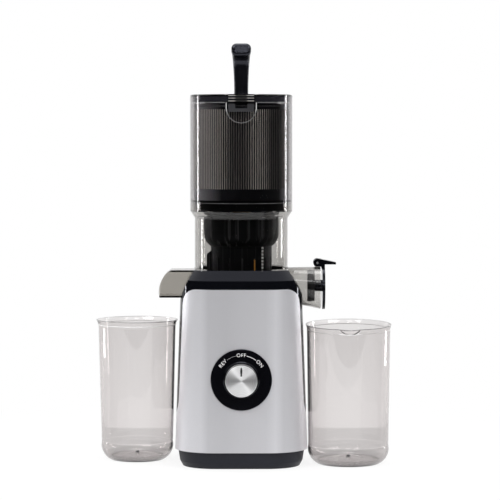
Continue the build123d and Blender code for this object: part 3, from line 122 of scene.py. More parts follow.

# Lid's tongue with its frosted grip, and the ridged tab above it. Painted light runs up the tongue's
# edge, with a painted highlight at its top.
TONGUE_RADIUS, TONGUE_CENTRE, TONGUE_STEPS = 18.3 * MM, 440.2 * MM, 32
TONGUE_TINT = (1.0, 1.0, 1.01)
TONGUE_HIGHLIGHT_TONES = ((0.0, 0.14), (0.45, 0.12), (0.70, 0.75))
TAB_HALF_WIDTH, TAB_MIDDLE_HALF = 15.6 * MM, 7.3 * MM
TAB_RIDGES = (455.2 * MM, 452.0 * MM, 448.6 * MM)
RIDGE_TINT = (1.0, 0.97, 0.92)
# Ridge tones: painted highlights at both ends, painted shade in the middle where the handle's shadow
# falls.
RIDGE_PAINTED_HIGHLIGHT, RIDGE_PAINTED_SHADE, RIDGE_FADE = 0.62, 0.06, 0.04
GRIP_LOW, GRIP_ARMS, GRIP_HIGH = 435.4 * MM, 439.6 * MM, 445.2 * MM
GRIP_DEPTH, GRIP_PARTS = 0.25 * MM, 12

# Cup and jug: how far the rim falls at the lip, the pale band under it as a painted highlight, the
# smoky base painted darker from the bottom up as painted shade, and the nub in the floor.
RIM_SECTORS, RIM_FALL = 72, 14.0 * MM
RIM_BAND, RIM_TUCK = 5.6 * MM, 1.8 * MM
BASE_HEIGHT = 9.0 * MM
BASE_SHADE_TONES = ((0.0, 0.25), (0.12, 0.52), (0.30, 0.74), (0.80, 0.84), (1.0, 1.0))
GATE_RADIUS, GATE_TOP_RADIUS = 2.9 * MM, 1.16 * MM
GATE_LOW, GATE_HIGH = 7.4 * MM, 9.2 * MM

# Hopper's liner: fluted outside, ribbed inside. Its painted light and shade run from its left side
# to its right, with painted highlights on its flute crests.
LINER_RADIUS, LINER_WALL, LINER_RIM = 59.8 * MM, 2.6 * MM, 442.6 * MM
FLUTE_COUNT, FLUTE_SHARE, FLUTE_PROUD = 128, 0.62, 0.9 * MM
FLUTE_STEPS = (-1.0, -0.66, -0.33, 0.0, 0.33, 0.66, 1.0)
FLUTE_LOW, FLUTE_HIGH = 341.0 * MM, 438.6 * MM
RIB_HEIGHT = 1.3 * MM
CREST_SHARE = 0.6
CREST_TINT, ROOT_TINT = (1.0, 0.95, 0.86), (1.0, 0.99, 1.02)
CREST_HIGHLIGHT_TONES = ((0.07, 0.85), (0.30, 0.70), (0.40, 0.20), (0.54, 0.22), (0.64, 0.78), (0.73, 0.62),
               (0.80, 0.12), (0.88, 0.10), (0.94, 0.40))
ROOT_LIGHT_AND_SHADE_TONES = ((0.07, 0.30), (0.18, 0.16), (0.30, 0.008), (0.50, 0.001), (0.88, 0.004), (0.94, 0.16))

# Painted sheen of the panel, bands of painted reflection from its left edge to its right, and tones
# of its grain.
PANEL_HALF_WIDTH = 82.0 * MM
PANEL_TINT = (0.995, 0.991, 1.034)
PANEL_PAINTED_SHEEN = ((0.14, 0.76), (0.20, 0.73), (0.255, 0.61), (0.39, 0.60), (0.50, 0.63), (0.68, 0.66),
               (0.755, 0.73), (0.815, 0.62), (0.89, 0.63))
PANEL_GRAIN_TONES = ((RAMP_LOW, 0.90), (RAMP_HIGH, 1.10))

# Knob's face: turning marks, the radius where its edge turns dark, and the painted pointer. That is a
# long ellipse: half its length, its width as a share of its length, and its distance from the middle.
RING_SCALE, RING_WOBBLE = 160.0, 0.4
RING_TINT = (1.0, 1.0, 1.01)
RING_TONES = ((RAMP_LOW, 0.78), (RAMP_HIGH, 0.96))
KNOB_FACE = 19.0 * MM
KNOB_EDGE_TONES = ((RAMP_LOW, 1.0), (RAMP_HIGH, 0.22))
POINTER_REACH, POINTER_SHARE, POINTER_MIDDLE = 4.3 * MM, 0.28, 12.2 * MM
POINTER_TONES = ((0.2, 0.03), (0.8, 1.0))

# Basket: painted upright streaks of light, a column of pale studs painted as points of light, and
# the amber wiper behind one slot, painted brighter than the auger as painted light.
BASKET_RADIUS = 38.0 * MM
STREAK_SCALE, STREAK_STRETCH = 210.0, (1, 1, 0.01)
STREAK_TINT = (1.0, 0.98, 1.02)
STREAK_HIGHLIGHT_TONES = ((0.54, 0.001), (0.68, 0.040))
STUD_COUNT, STUD_TURN, STUD_RADIUS = 7, math.radians(-47.5), 1.55 * MM
STUD_LOW, STUD_PITCH = 243.5 * MM, 4.1 * MM
WIPER_TURN, WIPER_SIZE = math.radians(-64.3), (1.0 * MM, 1.7 * MM, 13.0 * MM)
WIPER_MIDDLE = 247.0 * MM

# Dial print: angles in degrees, clockwise from the top.
WORD_ANGLES = {"REV": -48.5, "OFF": 0.0, "ON": 48.5}
LETTER_HEIGHT, CAPITAL_SHARE = 4.5 * MM, 0.72
LETTER_SPACING, LETTER_THINNING = 1.12, 0.011 * LETTER_HEIGHT
PRINT_DEPTH = 0.06 * MM
DOT_COUNT, DOT_RADIUS, DOT_SPAN = 8, 0.27 * MM, (-34.0, -14.0)
LINE_SPAN, LINE_WIDTH, LINE_STEPS = (13.0, 36.0), 0.55 * MM, 24


# Dial's place


def joint(name):
    return next(j for j in frame["joints"] if j["name"] == name)


DIAL_AXIS = -Vector(joint("knob_turn")["axis"]).normalized()
DIAL_CENTRE = Vector(joint("knob_turn")["pos_m"])
DIAL_RIGHT = Vector((1, 0, 0))
DIAL_UP = DIAL_AXIS.cross(DIAL_RIGHT)


# Node helpers


class Nodes:
    """Short calls for the node tree of a material or a world."""

    def __init__(self, owner):
        owner.use_nodes = True
        self.tree = owner.node_tree
        self.tree.nodes.clear()

    def add(self, kind, **settings):
        node = self.tree.nodes.new(kind)
        for setting, value in settings.items():
            setattr(node, setting, value)
        return node

    def link(self, source, target):
        self.tree.links.new(source, target)

    def ranged(self, source, low, high, first=0.0, last=1.0, blend="LINEAR"):
        """The value, moved from the range low to high into the range first to last."""
        node = self.add("ShaderNodeMapRange", interpolation_type=blend)
        node.inputs["From Min"].default_value = low
        node.inputs["From Max"].default_value = high
        node.inputs["To Min"].default_value = first
        node.inputs["To Max"].default_value = last
        self.link(source, node.inputs["Value"])
        return node.outputs["Result"]

    def along(self, axis, place):
        """One part of a place or direction: its X, Y or Z."""
        node = self.add("ShaderNodeSeparateXYZ")
        self.link(place, node.inputs["Vector"])
        return node.outputs[axis]

    def length(self, place):
        node = self.add("ShaderNodeVectorMath", operation="LENGTH")
        self.link(place, node.inputs[0])
        return node.outputs["Value"]

    def combined(self, operation, first, second):
        """Two values made into one, by MAXIMUM or MULTIPLY."""
        node = self.add("ShaderNodeMath", operation=operation)
        self.link(first, node.inputs[0])
        self.link(second, node.inputs[1])
        return node.outputs["Value"]

    def layered(self, share, below, above):
        """Two shaders mixed: below at share 0, above at share 1. The share is a socket or a number."""
        node = self.add("ShaderNodeMixShader")
        if isinstance(share, float):
            node.inputs["Fac"].default_value = share
        else:
            self.link(share, node.inputs["Fac"])
        self.link(below, node.inputs[1])
        self.link(above, node.inputs[2])
        return node.outputs["Shader"]


class Finish(Nodes):
    """A new material with one Principled shader, and short calls for the nodes that feed it."""

    def __init__(self, name, **sockets):
        self.material = bpy.data.materials.new(name)
        super().__init__(self.material)
        self.output = self.add("ShaderNodeOutputMaterial")
        self.shader = self.add("ShaderNodeBsdfPrincipled")
        self.surface(self.shader.outputs["BSDF"])
        for socket, value in sockets.items():
            self.shader.inputs[socket.replace("_", " ")].default_value = value
        self.place = self.add("ShaderNodeTexCoord").outputs["Object"]

    def mapped(self, scale=(1, 1, 1), location=(0, 0, 0)):
        """Object place, scaled and then moved."""
        node = self.add("ShaderNodeMapping")
        node.inputs["Scale"].default_value = scale
        node.inputs["Location"].default_value = location
        self.link(self.place, node.inputs["Vector"])
        return node.outputs["Vector"]

    def noise(self, scale, detail=3.0, stretch=None):
        """Noise value. Its grain runs along the axes whose stretch is small."""
        node = self.add("ShaderNodeTexNoise")
        node.inputs["Scale"].default_value = scale
        node.inputs["Detail"].default_value = detail
        self.link(self.mapped(stretch) if stretch else self.place, node.inputs["Vector"])
        return node.outputs["Fac"]

    def share_across(self, half_width):
        """Place from left to right on the object, as 0 to 1."""
        return self.ranged(self.along("X", self.place), -half_width, half_width)

    def share_up(self, low, high):
        """Height on the object, as 0 to 1."""
        return self.ranged(self.along("Z", self.place), low, high)

    def away_from(self, centre, scale, near, far):
        """Distance from the centre, with each axis scaled first: 0 at near, 1 at far."""
        scale = Vector(scale)
        return self.ranged(self.length(self.mapped(scale, -centre * scale)), near, far)

    def ramp(self, source, stops):
        """Colour that follows the stops, each a place and a colour."""
        node = self.add("ShaderNodeValToRGB")
        elements = node.color_ramp.elements
        while len(elements) < len(stops):
            elements.new(0.5)
        for element, (place, colour) in zip(elements, stops):
            element.position = place
            element.color = (*colour, 1)
        self.link(source, node.inputs["Fac"])
        return node.outputs["Color"]

    def tones(self, source, stops, tint=NO_TINT):
        """Tinted grey that follows the stops, each a place and a level."""
        tinted = [(place, [min(1.0, level * share) for share in tint]) for place, level in stops]
        return self.ramp(source, tinted)

    def mixed(self, first, second, share):
        """Two colours mixed: first at share 0, second at share 1."""
        node = self.add("ShaderNodeMix", data_type="RGBA")
        self.link(share, node.inputs["Factor"])
        self.link(first, node.inputs["A"])
        self.link(second, node.inputs["B"])
        return node.outputs["Result"]

    def multiplied(self, first, second):
        """Product of two colours."""
        node = self.add("ShaderNodeMix", data_type="RGBA", blend_type="MULTIPLY")
        node.inputs["Factor"].default_value = 1.0
        self.link(first, node.inputs["A"])
        self.link(second, node.inputs["B"])
        return node.outputs["Result"]

    def paint(self, colour):
        self.link(colour, self.shader.inputs["Base Color"])

    def mottle(self, source, colour, share):
        """Paint that runs from darker to lighter than the colour, by a share of it."""
        darker = [part * (1 - share) for part in colour]
        lighter = [min(1.0, part * (1 + share)) for part in colour]
        self.paint(self.ramp(source, ((RAMP_LOW, darker), (RAMP_HIGH, lighter))))

    def rough(self, source, low, high):
        roughness = self.ranged(source, TEXTURE_LOW, TEXTURE_HIGH, low, high)
        self.link(roughness, self.shader.inputs["Roughness"])

    def bump(self, source, height, strength):
        node = self.add("ShaderNodeBump")
        node.inputs["Strength"].default_value = strength
        node.inputs["Distance"].default_value = height
        self.link(source, node.inputs["Height"])
        self.link(node.outputs["Normal"], self.shader.inputs["Normal"])

    def surface(self, shader):
        self.link(shader, self.output.inputs["Surface"])


# Finishes


def moulded(name, colour, roughness, specular, depth=0.03 * MM, gloss=WHITE):
    """Moulded plastic: faint flow marks in its colour, fine grain in its gloss and surface."""
    look = Finish(name, Specular_IOR_Level=specular, Specular_Tint=gloss)
    look.mottle(look.noise(scale=35.0), colour, share=0.12)
    grain = look.noise(FINE_GRAIN, detail=4.0)
    look.rough(grain, low=roughness * 0.85, high=roughness * 1.15)
    look.bump(grain, depth, strength=0.35)
    return look.material


def sheet_steel():
    """Satin steel panel with a fine grain, duller where the grain is dense, and painted sheen in bands.
    """
    look = Finish("panel_steel", Metallic=0.72, Specular_IOR_Level=0.4)
    grain = look.noise(scale=2600.0, detail=5.0)
    # Painted sheen: bands of painted reflection across the panel, times its grain.
    sheen = look.tones(look.share_across(PANEL_HALF_WIDTH), PANEL_PAINTED_SHEEN, PANEL_TINT)
    look.paint(look.multiplied(sheen, look.tones(grain, PANEL_GRAIN_TONES)))
    look.rough(grain, low=0.40, high=0.52)
    look.bump(grain, height=0.02 * MM, strength=0.25)
    return look.material


def spun_metal():
    """Knob metal turned on a lathe: rings round its axis, a dark edge and a painted pointer."""
    look = Finish("knob_metal", Metallic=1.0, Anisotropic=0.93, Anisotropic_Rotation=0.25)
    tangent = look.add("ShaderNodeTangent", direction_type="RADIAL", axis="Y")
    look.link(tangent.outputs["Tangent"], look.shader.inputs["Tangent"])
    wave = look.add("ShaderNodeTexWave", wave_type="RINGS", rings_direction="Y")
    wave.inputs["Scale"].default_value = RING_SCALE
    wave.inputs["Distortion"].default_value = RING_WOBBLE
    look.link(look.mapped(location=-DIAL_CENTRE), wave.inputs["Vector"])
    rings = wave.outputs["Fac"]
    edge = look.away_from(DIAL_CENTRE, (1, 0, 1), KNOB_FACE, KNOB_FACE + EDGE_BEAD)
    middle = DIAL_CENTRE + DIAL_UP * POINTER_MIDDLE
    narrow = (1 / POINTER_SHARE, 0, 1)
    mark = look.away_from(middle, narrow, POINTER_REACH, POINTER_REACH + EDGE_BEAD)
    face = look.multiplied(look.tones(rings, RING_TONES, RING_TINT), look.tones(mark, POINTER_TONES))
    look.paint(look.multiplied(face, look.tones(edge, KNOB_EDGE_TONES)))
    look.rough(look.noise(scale=1500.0, detail=4.0), low=0.36, high=0.44)
    look.bump(rings, height=0.01 * MM, strength=0.4)
    return look.material


def plain_metal(name, colour, roughness):
    """Machined metal with a fine grain in its colour, gloss and surface."""
    look = Finish(name, Metallic=1.0)
    grain = look.noise(scale=500.0, detail=4.0)
    look.mottle(grain, colour, share=0.1)
    look.rough(grain, low=roughness * 0.8, high=roughness * 1.2)
    look.bump(grain, height=0.02 * MM, strength=0.3)
    return look.material


def clear_plastic(name, tint, density, roughness=0.008, shadow=0.9, base_height=0.0):
    """Smoky clear plastic: absorbs with depth, lets light through to what is behind and below it."""
    look = Finish(name, Transmission_Weight=1.0, IOR=1.47, Base_Color=WHITE)
    # With a base height, painted shade darkens the colour towards the bottom.
    if base_height:
        look.paint(look.tones(look.share_up(0.0, base_height), BASE_SHADE_TONES))
    look.rough(look.noise(scale=400.0, detail=2.0), low=0.92 * roughness, high=1.08 * roughness)
    absorb = look.add("ShaderNodeVolumeAbsorption")
    absorb.inputs["Color"].default_value = (*tint, 1)
    absorb.inputs["Density"].default_value = density
    look.link(absorb.outputs["Volume"], look.output.inputs["Volume"])
    passing = look.add("ShaderNodeBsdfTransparent")
    passing.inputs["Color"].default_value = (shadow, shadow, shadow, 1)
    in_shadow = look.add("ShaderNodeLightPath").outputs["Is Shadow Ray"]
    look.surface(look.layered(in_shadow, look.shader.outputs["BSDF"], passing.outputs["BSDF"]))
    return look.material


def fluted_plastic():
    """Smoky liner with painted light: pale painted highlights on its flute crests, painted shade
    between.
    """
    look = Finish("liner_black", Specular_IOR_Level=0.2, Specular_Tint=COOL_GLOSS)
    crest_foot = LINER_RADIUS - CREST_SHARE * FLUTE_PROUD
    crest = look.away_from(Vector(), (1, 1, 0), crest_foot, LINER_RADIUS)
    # Painted light and shade by place from left to right: pale on the crests, dark between them.
    across = look.share_across(LINER_RADIUS)
    root_light_and_shade = look.tones(across, ROOT_LIGHT_AND_SHADE_TONES, ROOT_TINT)
    crest_highlight = look.tones(across, CREST_HIGHLIGHT_TONES, CREST_TINT)
    look.paint(look.mixed(root_light_and_shade, crest_highlight, crest))
    look.rough(look.noise(FINE_GRAIN, detail=4.0), low=0.35, high=0.45)
    return look.material


def streaked_basket():
    """Dark strainer plastic with painted highlights: thin upright streaks of light in its colour."""
    look = Finish("basket_painted_streaks", Specular_IOR_Level=0.1, Specular_Tint=COOL_GLOSS)
    streaks = look.noise(STREAK_SCALE, detail=2.0, stretch=STREAK_STRETCH)
    look.paint(look.tones(streaks, STREAK_HIGHLIGHT_TONES, STREAK_TINT))
    grain = look.noise(FINE_GRAIN, detail=4.0)
    look.rough(grain, low=0.36, high=0.48)
    look.bump(grain, height=0.01 * MM, strength=0.35)
    return look.material


def tongue_painted_highlight():
    """Polished edge of the tongue: a painted highlight at its top, darker towards its foot."""
    look = Finish("tongue_painted_highlight", Specular_IOR_Level=0.5)
    height = look.share_up(TONGUE_CENTRE - TONGUE_RADIUS, LID_SEAM)
    look.paint(look.tones(height, TONGUE_HIGHLIGHT_TONES, TONGUE_TINT))
    look.rough(look.noise(FINE_GRAIN), low=0.25, high=0.35)
    return look.material


def ridge_light():
    """Ridges of the lid's tab: painted highlights at both ends, painted shade in the middle."""
    look = Finish("ridge_light", Specular_IOR_Level=0.5)
    shaded_middle = 0.5 * TAB_MIDDLE_HALF / TAB_HALF_WIDTH
    left, right = 0.5 - shaded_middle, 0.5 + shaded_middle
    stops = ((left - RIDGE_FADE, RIDGE_PAINTED_HIGHLIGHT), (left + RIDGE_FADE, RIDGE_PAINTED_SHADE),
             (right - RIDGE_FADE, RIDGE_PAINTED_SHADE), (right + RIDGE_FADE, RIDGE_PAINTED_HIGHLIGHT))
    look.paint(look.tones(look.share_across(TAB_HALF_WIDTH), stops, RIDGE_TINT))
    look.rough(look.noise(FINE_GRAIN), low=0.3, high=0.4)
    return look.material


def soft(name, colour, roughness):
    """Rubber and silicone: matt, with a dusty sheen and a pebbled skin."""
    look = Finish(name, Sheen_Weight=0.2, Specular_IOR_Level=0.25)
    grain = look.noise(scale=1800.0)
    look.mottle(grain, colour, share=0.15)
    look.rough(grain, low=roughness * 0.9, high=roughness * 1.1)
    look.bump(grain, height=0.06 * MM, strength=0.5)
    return look.material


def stacked_plates():
    """Motor steel made of thin plates, seen as fine level lines."""
    look = Finish("lamination", Metallic=0.8)
    wave = look.add("ShaderNodeTexWave", bands_direction="Z")
    wave.inputs["Scale"].default_value = 320.0
    wave.inputs["Distortion"].default_value = 0.6
    look.link(look.place, wave.inputs["Vector"])
    plates = wave.outputs["Fac"]
    dark, pale = (0.16, 0.16, 0.17), (0.36, 0.36, 0.37)
    look.paint(look.ramp(plates, ((RAMP_LOW, dark), (RAMP_HIGH, pale))))
    look.rough(look.noise(scale=400.0), low=0.35, high=0.5)
    look.bump(plates, height=0.1 * MM, strength=0.6)
    return look.material


def circuit_board():
    """Green board with brighter copper tracks under the lacquer."""
    look = Finish("board_green", Coat_Weight=0.4)
    brick = look.add("ShaderNodeTexBrick")
    brick.inputs["Scale"].default_value = 90.0
    brick.inputs["Mortar Size"].default_value = 0.06
    look.link(look.mapped((1, 1, 2.2)), brick.inputs["Vector"])
    tracks = brick.outputs["Fac"]
    dark, pale = (0.02, 0.12, 0.05), (0.10, 0.30, 0.12)
    look.paint(look.ramp(tracks, ((RAMP_LOW, dark), (RAMP_HIGH, pale))))
    look.rough(look.noise(scale=700.0), low=0.3, high=0.45)
    look.bump(tracks, height=0.05 * MM, strength=0.4)
    return look.material


def printed(name, colour):
    """Dial print: matt ink with a faint edge grain."""
    look = Finish(name, Specular_IOR_Level=0.2)
    grain = look.noise(scale=3000.0, detail=2.0)
    look.mottle(grain, colour, share=0.05)
    look.rough(grain, low=0.5, high=0.7)
    return look.material


# Every finish by name. Moulded plastics give a colour, roughness, specular level, grain depth and
# gloss; clear ones a tint and density; metals and soft ones a colour and roughness.
FINISHES = {
    "panel_steel": sheet_steel(),
    "black_gloss": moulded("black_gloss", (0.0022, 0.0022, 0.0032), 0.12, 0.25, 0.002 * MM, COOL_GLOSS),
    "deck_black": moulded("deck_black", (0.0025, 0.0027, 0.0040), 0.08, 0.32, 0.001 * MM, COOL_GLOSS),
    "black_satin": moulded("black_satin", (0.012, 0.012, 0.014), 0.42, 0.35),
    "charcoal": moulded("charcoal", (0.0115, 0.0120, 0.0185), 0.45, 0.25),
    "basket_black": moulded("basket_black", (0.0015, 0.0015, 0.0025), 0.42, 0.10, 0.01 * MM, COOL_GLOSS),
    "basket_painted_streaks": streaked_basket(),
    "amber": moulded("amber", (0.30, 0.16, 0.035), 0.30, 0.45),
    "gear_nylon": moulded("gear_nylon", (0.62, 0.60, 0.53), 0.45, 0.4),
    "cup_smoke": clear_plastic("cup_smoke", (0.58, 0.52, 0.51), 155.0, base_height=BASE_HEIGHT),
    "bowl_smoke": clear_plastic("bowl_smoke", (0.56, 0.545, 0.52), 290.0),
    "hopper_smoke": clear_plastic("hopper_smoke", (0.56, 0.54, 0.555), 330.0, shadow=0.7),
    "chute_smoke": clear_plastic("chute_smoke", (0.50, 0.47, 0.42), 440.0, roughness=0.12),
    "liner_black": fluted_plastic(),
    "handle_black": moulded("handle_black", (0.0020, 0.0020, 0.0030), 0.24, 0.5, 0.004 * MM, COOL_GLOSS),
    "edge_painted_highlight": moulded("edge_painted_highlight", (0.15, 0.15, 0.155), 0.25, 0.6, 0.004 * MM),
    "tongue_painted_highlight": tongue_painted_highlight(),
    "ridge_light": ridge_light(),
    "seam_painted_highlight": moulded("seam_painted_highlight", (0.42, 0.42, 0.43), 0.25, 0.6, 0.004 * MM),
    "grip_frost": moulded("grip_frost", (0.024, 0.024, 0.027), 0.45, 0.3),
    "rim_smoke": moulded("rim_smoke", (0.22, 0.21, 0.21), 0.25, 0.5, 0.004 * MM),
    "band_light": moulded("band_light", (0.86, 0.86, 0.86), 0.25, 0.5, 0.004 * MM),
    "insert_black": moulded("insert_black", (0.038, 0.038, 0.050), 0.40, 0.3),
    "stud_painted_light": moulded("stud_painted_light", (0.97, 0.97, 0.97), 0.45, 0.4),
    "wiper_amber_lit": moulded("wiper_amber_lit", (0.55, 0.24, 0.02), 0.35, 0.45),
    "mesh_dark": plain_metal("mesh_dark", (0.05, 0.05, 0.052), 0.40),
    "knob_metal": spun_metal(),
    "steel": plain_metal("steel", (0.60, 0.60, 0.61), 0.30),
    "bronze": plain_metal("bronze", (0.50, 0.32, 0.14), 0.38),
    "lamination": stacked_plates(),
    "board_green": circuit_board(),
    "soft_rubber": soft("soft_rubber", (0.016, 0.016, 0.017), 0.75),
    "silicone": soft("silicone", (0.004, 0.004, 0.005), 0.5),
    "print_white": printed("print_white", (0.93, 0.93, 0.94)),
}

# Nodes by finish. A node that no list names keeps the finish of its record slot.
NODE_FINISHES = {
    "deck_black": ["top_deck"],
    "basket_painted_streaks": ["strainer_basket"],
    "basket_black": ["feed_cone"],
    "amber": ["auger"],
    "cup_smoke": ["pulp_cup", "juice_jug"],
    "bowl_smoke": ["bowl"],
    "hopper_smoke": ["hopper_shell", "lid_cover"],
    "chute_smoke": ["pulp_chute"],
    "liner_black": ["hopper_liner"],
    "insert_black": ["lid_insert"],
    "handle_black": ["lid_handle"],
    "mesh_dark": ["strainer_mesh"],
}


def finish_nodes():
    """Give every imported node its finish: the slot's own, or the one named for the node."""
    chosen = {node: finish for finish, nodes in NODE_FINISHES.items() for node in nodes}
    for name, node in frame["nodes"].items():
        for slot in node.material_slots:
            slot.material = FINISHES[chosen.get(name, slot.material.name.split(".")[0])]


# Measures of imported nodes


def middle_of(node):
    low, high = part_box(node)
    return (low + high) / 2


def half_width(node):
    low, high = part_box(node)
    return (high.x - low.x) / 2


def reach(node):
    """How far a node stands out along the dial's axis."""
    return max((v.co - DIAL_CENTRE).dot(DIAL_AXIS) for v in frame["nodes"][node].data.vertices)


# Pieces


def add_piece(name, mesh, finish, body):
    """New piece that rides on a body, with one finish."""
    piece = bpy.data.objects.new(name, mesh)
    bpy.context.scene.collection.objects.link(piece)
    piece.data.materials.append(FINISHES[finish])
    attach(piece, body)
    return piece


def shape_mesh(name, shape):
    """Mesh of a finished shape, with its faces turned outwards."""
    bmesh.ops.recalc_face_normals(shape, faces=shape.faces)
    mesh = bpy.data.meshes.new(name)
    shape.to_mesh(mesh)
    shape.free()
    return mesh


def curve_mesh(curve):
    """Mesh of a text or of a bevelled curve."""
    draft = bpy.data.objects.new("draft_" + curve.name, curve)
    bpy.context.scene.collection.objects.link(draft)
    bpy.context.view_layer.update()
    mesh = bpy.data.meshes.new_from_object(draft.evaluated_get(bpy.context.evaluated_depsgraph_get()))
    bpy.data.objects.remove(draft)
    return mesh


def join_rings(shape, here, after):
    """Faces between two closed rings of corners."""
    for corner in range(len(here)):
        following = (corner + 1) % len(here)
        shape.faces.new((here[corner], here[following], after[following], after[corner]))


def add_bar(shape, sections):
    """Closed bar through a row of sections."""
    rings = [[shape.verts.new(point) for point in section] for section in sections]
    for here, after in zip(rings, rings[1:]):
        join_rings(shape, here, after)
    shape.faces.new(rings[0])
    shape.faces.new(list(reversed(rings[-1])))


def bead(name, points, radius, finish, body, closed=True):
    """Thin round bead along a row of points."""
    curve = bpy.data.curves.new(name, "CURVE")
    curve.dimensions = "3D"
    curve.bevel_depth = radius
    curve.bevel_resolution = BEAD_ROUNDING
    curve.use_fill_caps = True
    line = curve.splines.new("POLY")
    line.points.add(len(points) - 1)
    for point, place in zip(line.points, points):
        point.co = (*place, 1)
    line.use_cyclic_u = closed
    mesh = curve_mesh(curve)
    for face in mesh.polygons:
        face.use_smooth = True
    add_piece(name, mesh, finish, body)


def circle(radius, z, gap=0.0):
    """Points round the drive axis, from one side of a gap at the front to its other side."""
    first, span = gap - math.pi / 2, 2 * math.pi - 2 * gap
    count = CIRCLE_STEPS + 1 if gap else CIRCLE_STEPS
    turns = [first + span * step / CIRCLE_STEPS for step in range(count)]
    return [Vector((radius * math.cos(turn), radius * math.sin(turn), z)) for turn in turns]


# Dial print


def on_dial(angle, radius, lift):
    """Matrix at a place on the dial, its Y axis pointing away from the centre."""
    turn = math.radians(angle)
    out = DIAL_RIGHT * math.sin(turn) + DIAL_UP * math.cos(turn)
    along = DIAL_RIGHT * math.cos(turn) - DIAL_UP * math.sin(turn)
    matrix = Matrix((along, out, DIAL_AXIS)).transposed().to_4x4()
    matrix.translation = DIAL_CENTRE + out * radius + DIAL_AXIS * lift
    return matrix


def dial_word(word, angle, radius, lift):
    """One printed word, set along the dial's rim."""
    text = bpy.data.curves.new("word_" + word.lower(), "FONT")
    text.body = word
    text.align_x = "CENTER"
    text.align_y = "CENTER"
    text.size = LETTER_HEIGHT / CAPITAL_SHARE
    text.space_character = LETTER_SPACING
    text.offset = -LETTER_THINNING
    text.extrude = PRINT_DEPTH / 2
    mesh = curve_mesh(text)
    mesh.transform(on_dial(angle, radius, lift + PRINT_DEPTH / 2))
    add_piece("dial_word_" + word.lower(), mesh, "print_white", "base")


def dial_dots(radius, lift):
    """Row of small printed dots from the first word to the second."""
    shape = bmesh.new()
    first, last = DOT_SPAN
    for index in range(DOT_COUNT):
        angle = first + (last - first) * index / (DOT_COUNT - 1)
        place = on_dial(angle, radius, lift + PRINT_DEPTH / 2)
        bmesh.ops.create_cone(shape, cap_ends=True, segments=16, radius1=DOT_RADIUS,
                              radius2=DOT_RADIUS, depth=PRINT_DEPTH, matrix=place)
    add_piece("dial_dots", shape_mesh("dial_dots", shape), "print_white", "base")


def dial_line(radius, lift):
    """Printed line from the second word to the third."""
    shape = bmesh.new()
    first, last = LINE_SPAN
    half = LINE_WIDTH / 2
    corners = ((-half, 0), (half, 0), (half, PRINT_DEPTH), (-half, PRINT_DEPTH))
    sections = []
    for step in range(LINE_STEPS + 1):
        angle = first + (last - first) * step / LINE_STEPS
        sections.append([on_dial(angle, radius + side, lift + up).translation for side, up in corners])
    add_bar(shape, sections)
    add_piece("dial_line", shape_mesh("dial_line", shape), "print_white", "base")


def dial_print():
    """Words, dots and line on the dial plate."""
    lift = reach("dial_ring")
    radius = (half_width("knob_skirt") + half_width("dial_ring")) / 2
    for word, angle in WORD_ANGLES.items():
        dial_word(word, angle, radius, lift)
    dial_dots(radius, lift)
    dial_line(radius, lift)


# Liner


def liner_ring(z, fluted, inside):
    """One level ring of points on the liner's outer or inner face."""
    half = math.pi / FLUTE_COUNT * FLUTE_SHARE
    points = []
    for flute in range(FLUTE_COUNT):
        for step in FLUTE_STEPS:
            turn = 2 * math.pi * flute / FLUTE_COUNT + half * step
            if inside:
                ribbed = fluted and flute % 2 == 0 and abs(step) < 1
                radius = LINER_RADIUS - LINER_WALL - (RIB_HEIGHT if ribbed else 0.0)
            else:
                crest = math.sqrt(1 - step * step) if fluted else 0.0
                radius = LINER_RADIUS - FLUTE_PROUD * (1 - crest)
            points.append((radius * math.cos(turn), radius * math.sin(turn), z))
    return points


def fluted_liner():
    """The liner as the photo shows it: close to the drum, with flutes outside and ribs inside."""
    low, high = (corner.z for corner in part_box("hopper_liner"))
    levels = [(low, False), (FLUTE_LOW, False), (FLUTE_LOW, True),
              (FLUTE_HIGH, True), (FLUTE_HIGH, False), (high, False)]
    outline = [(z, fluted, False) for z, fluted in levels]
    outline += [(z, fluted, True) for z, fluted in reversed(levels)]
    shape = bmesh.new()
    rings = [[shape.verts.new(point) for point in liner_ring(*level)] for level in outline]
    for here, after in zip(rings, rings[1:] + rings[:1]):
        join_rings(shape, here, after)
    mesh = shape_mesh("fluted_liner", shape)
    piece = add_piece("fluted_liner", mesh, "liner_black", "hopper")
    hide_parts("hopper_liner")
    # Pale bead on the liner's rim: a painted highlight.
    bead("liner_rim", circle(LINER_RADIUS, LINER_RIM), SEAM_BEAD, "edge_painted_highlight", "hopper")


# Lid and clear edges


def on_drum(x, z, radius, lift=0.0):
    """Point on the front of the drum, lifted towards the camera."""
    return Vector((x, -math.sqrt(radius ** 2 - x ** 2) - lift, z))


def tongue_edge(drum_radius):
    """U-shaped painted line of light round the lid's tongue, on the front of the drum."""
    points = [on_drum(-TONGUE_RADIUS, LID_SEAM, drum_radius)]
    for step in range(TONGUE_STEPS + 1):
        turn = math.pi * step / TONGUE_STEPS
        x = -TONGUE_RADIUS * math.cos(turn)
        points.append(on_drum(x, TONGUE_CENTRE - TONGUE_RADIUS * math.sin(turn), drum_radius))
    points.append(on_drum(TONGUE_RADIUS, LID_SEAM, drum_radius))
    bead("tongue_edge", points, EDGE_BEAD, "tongue_painted_highlight", "lid", closed=False)


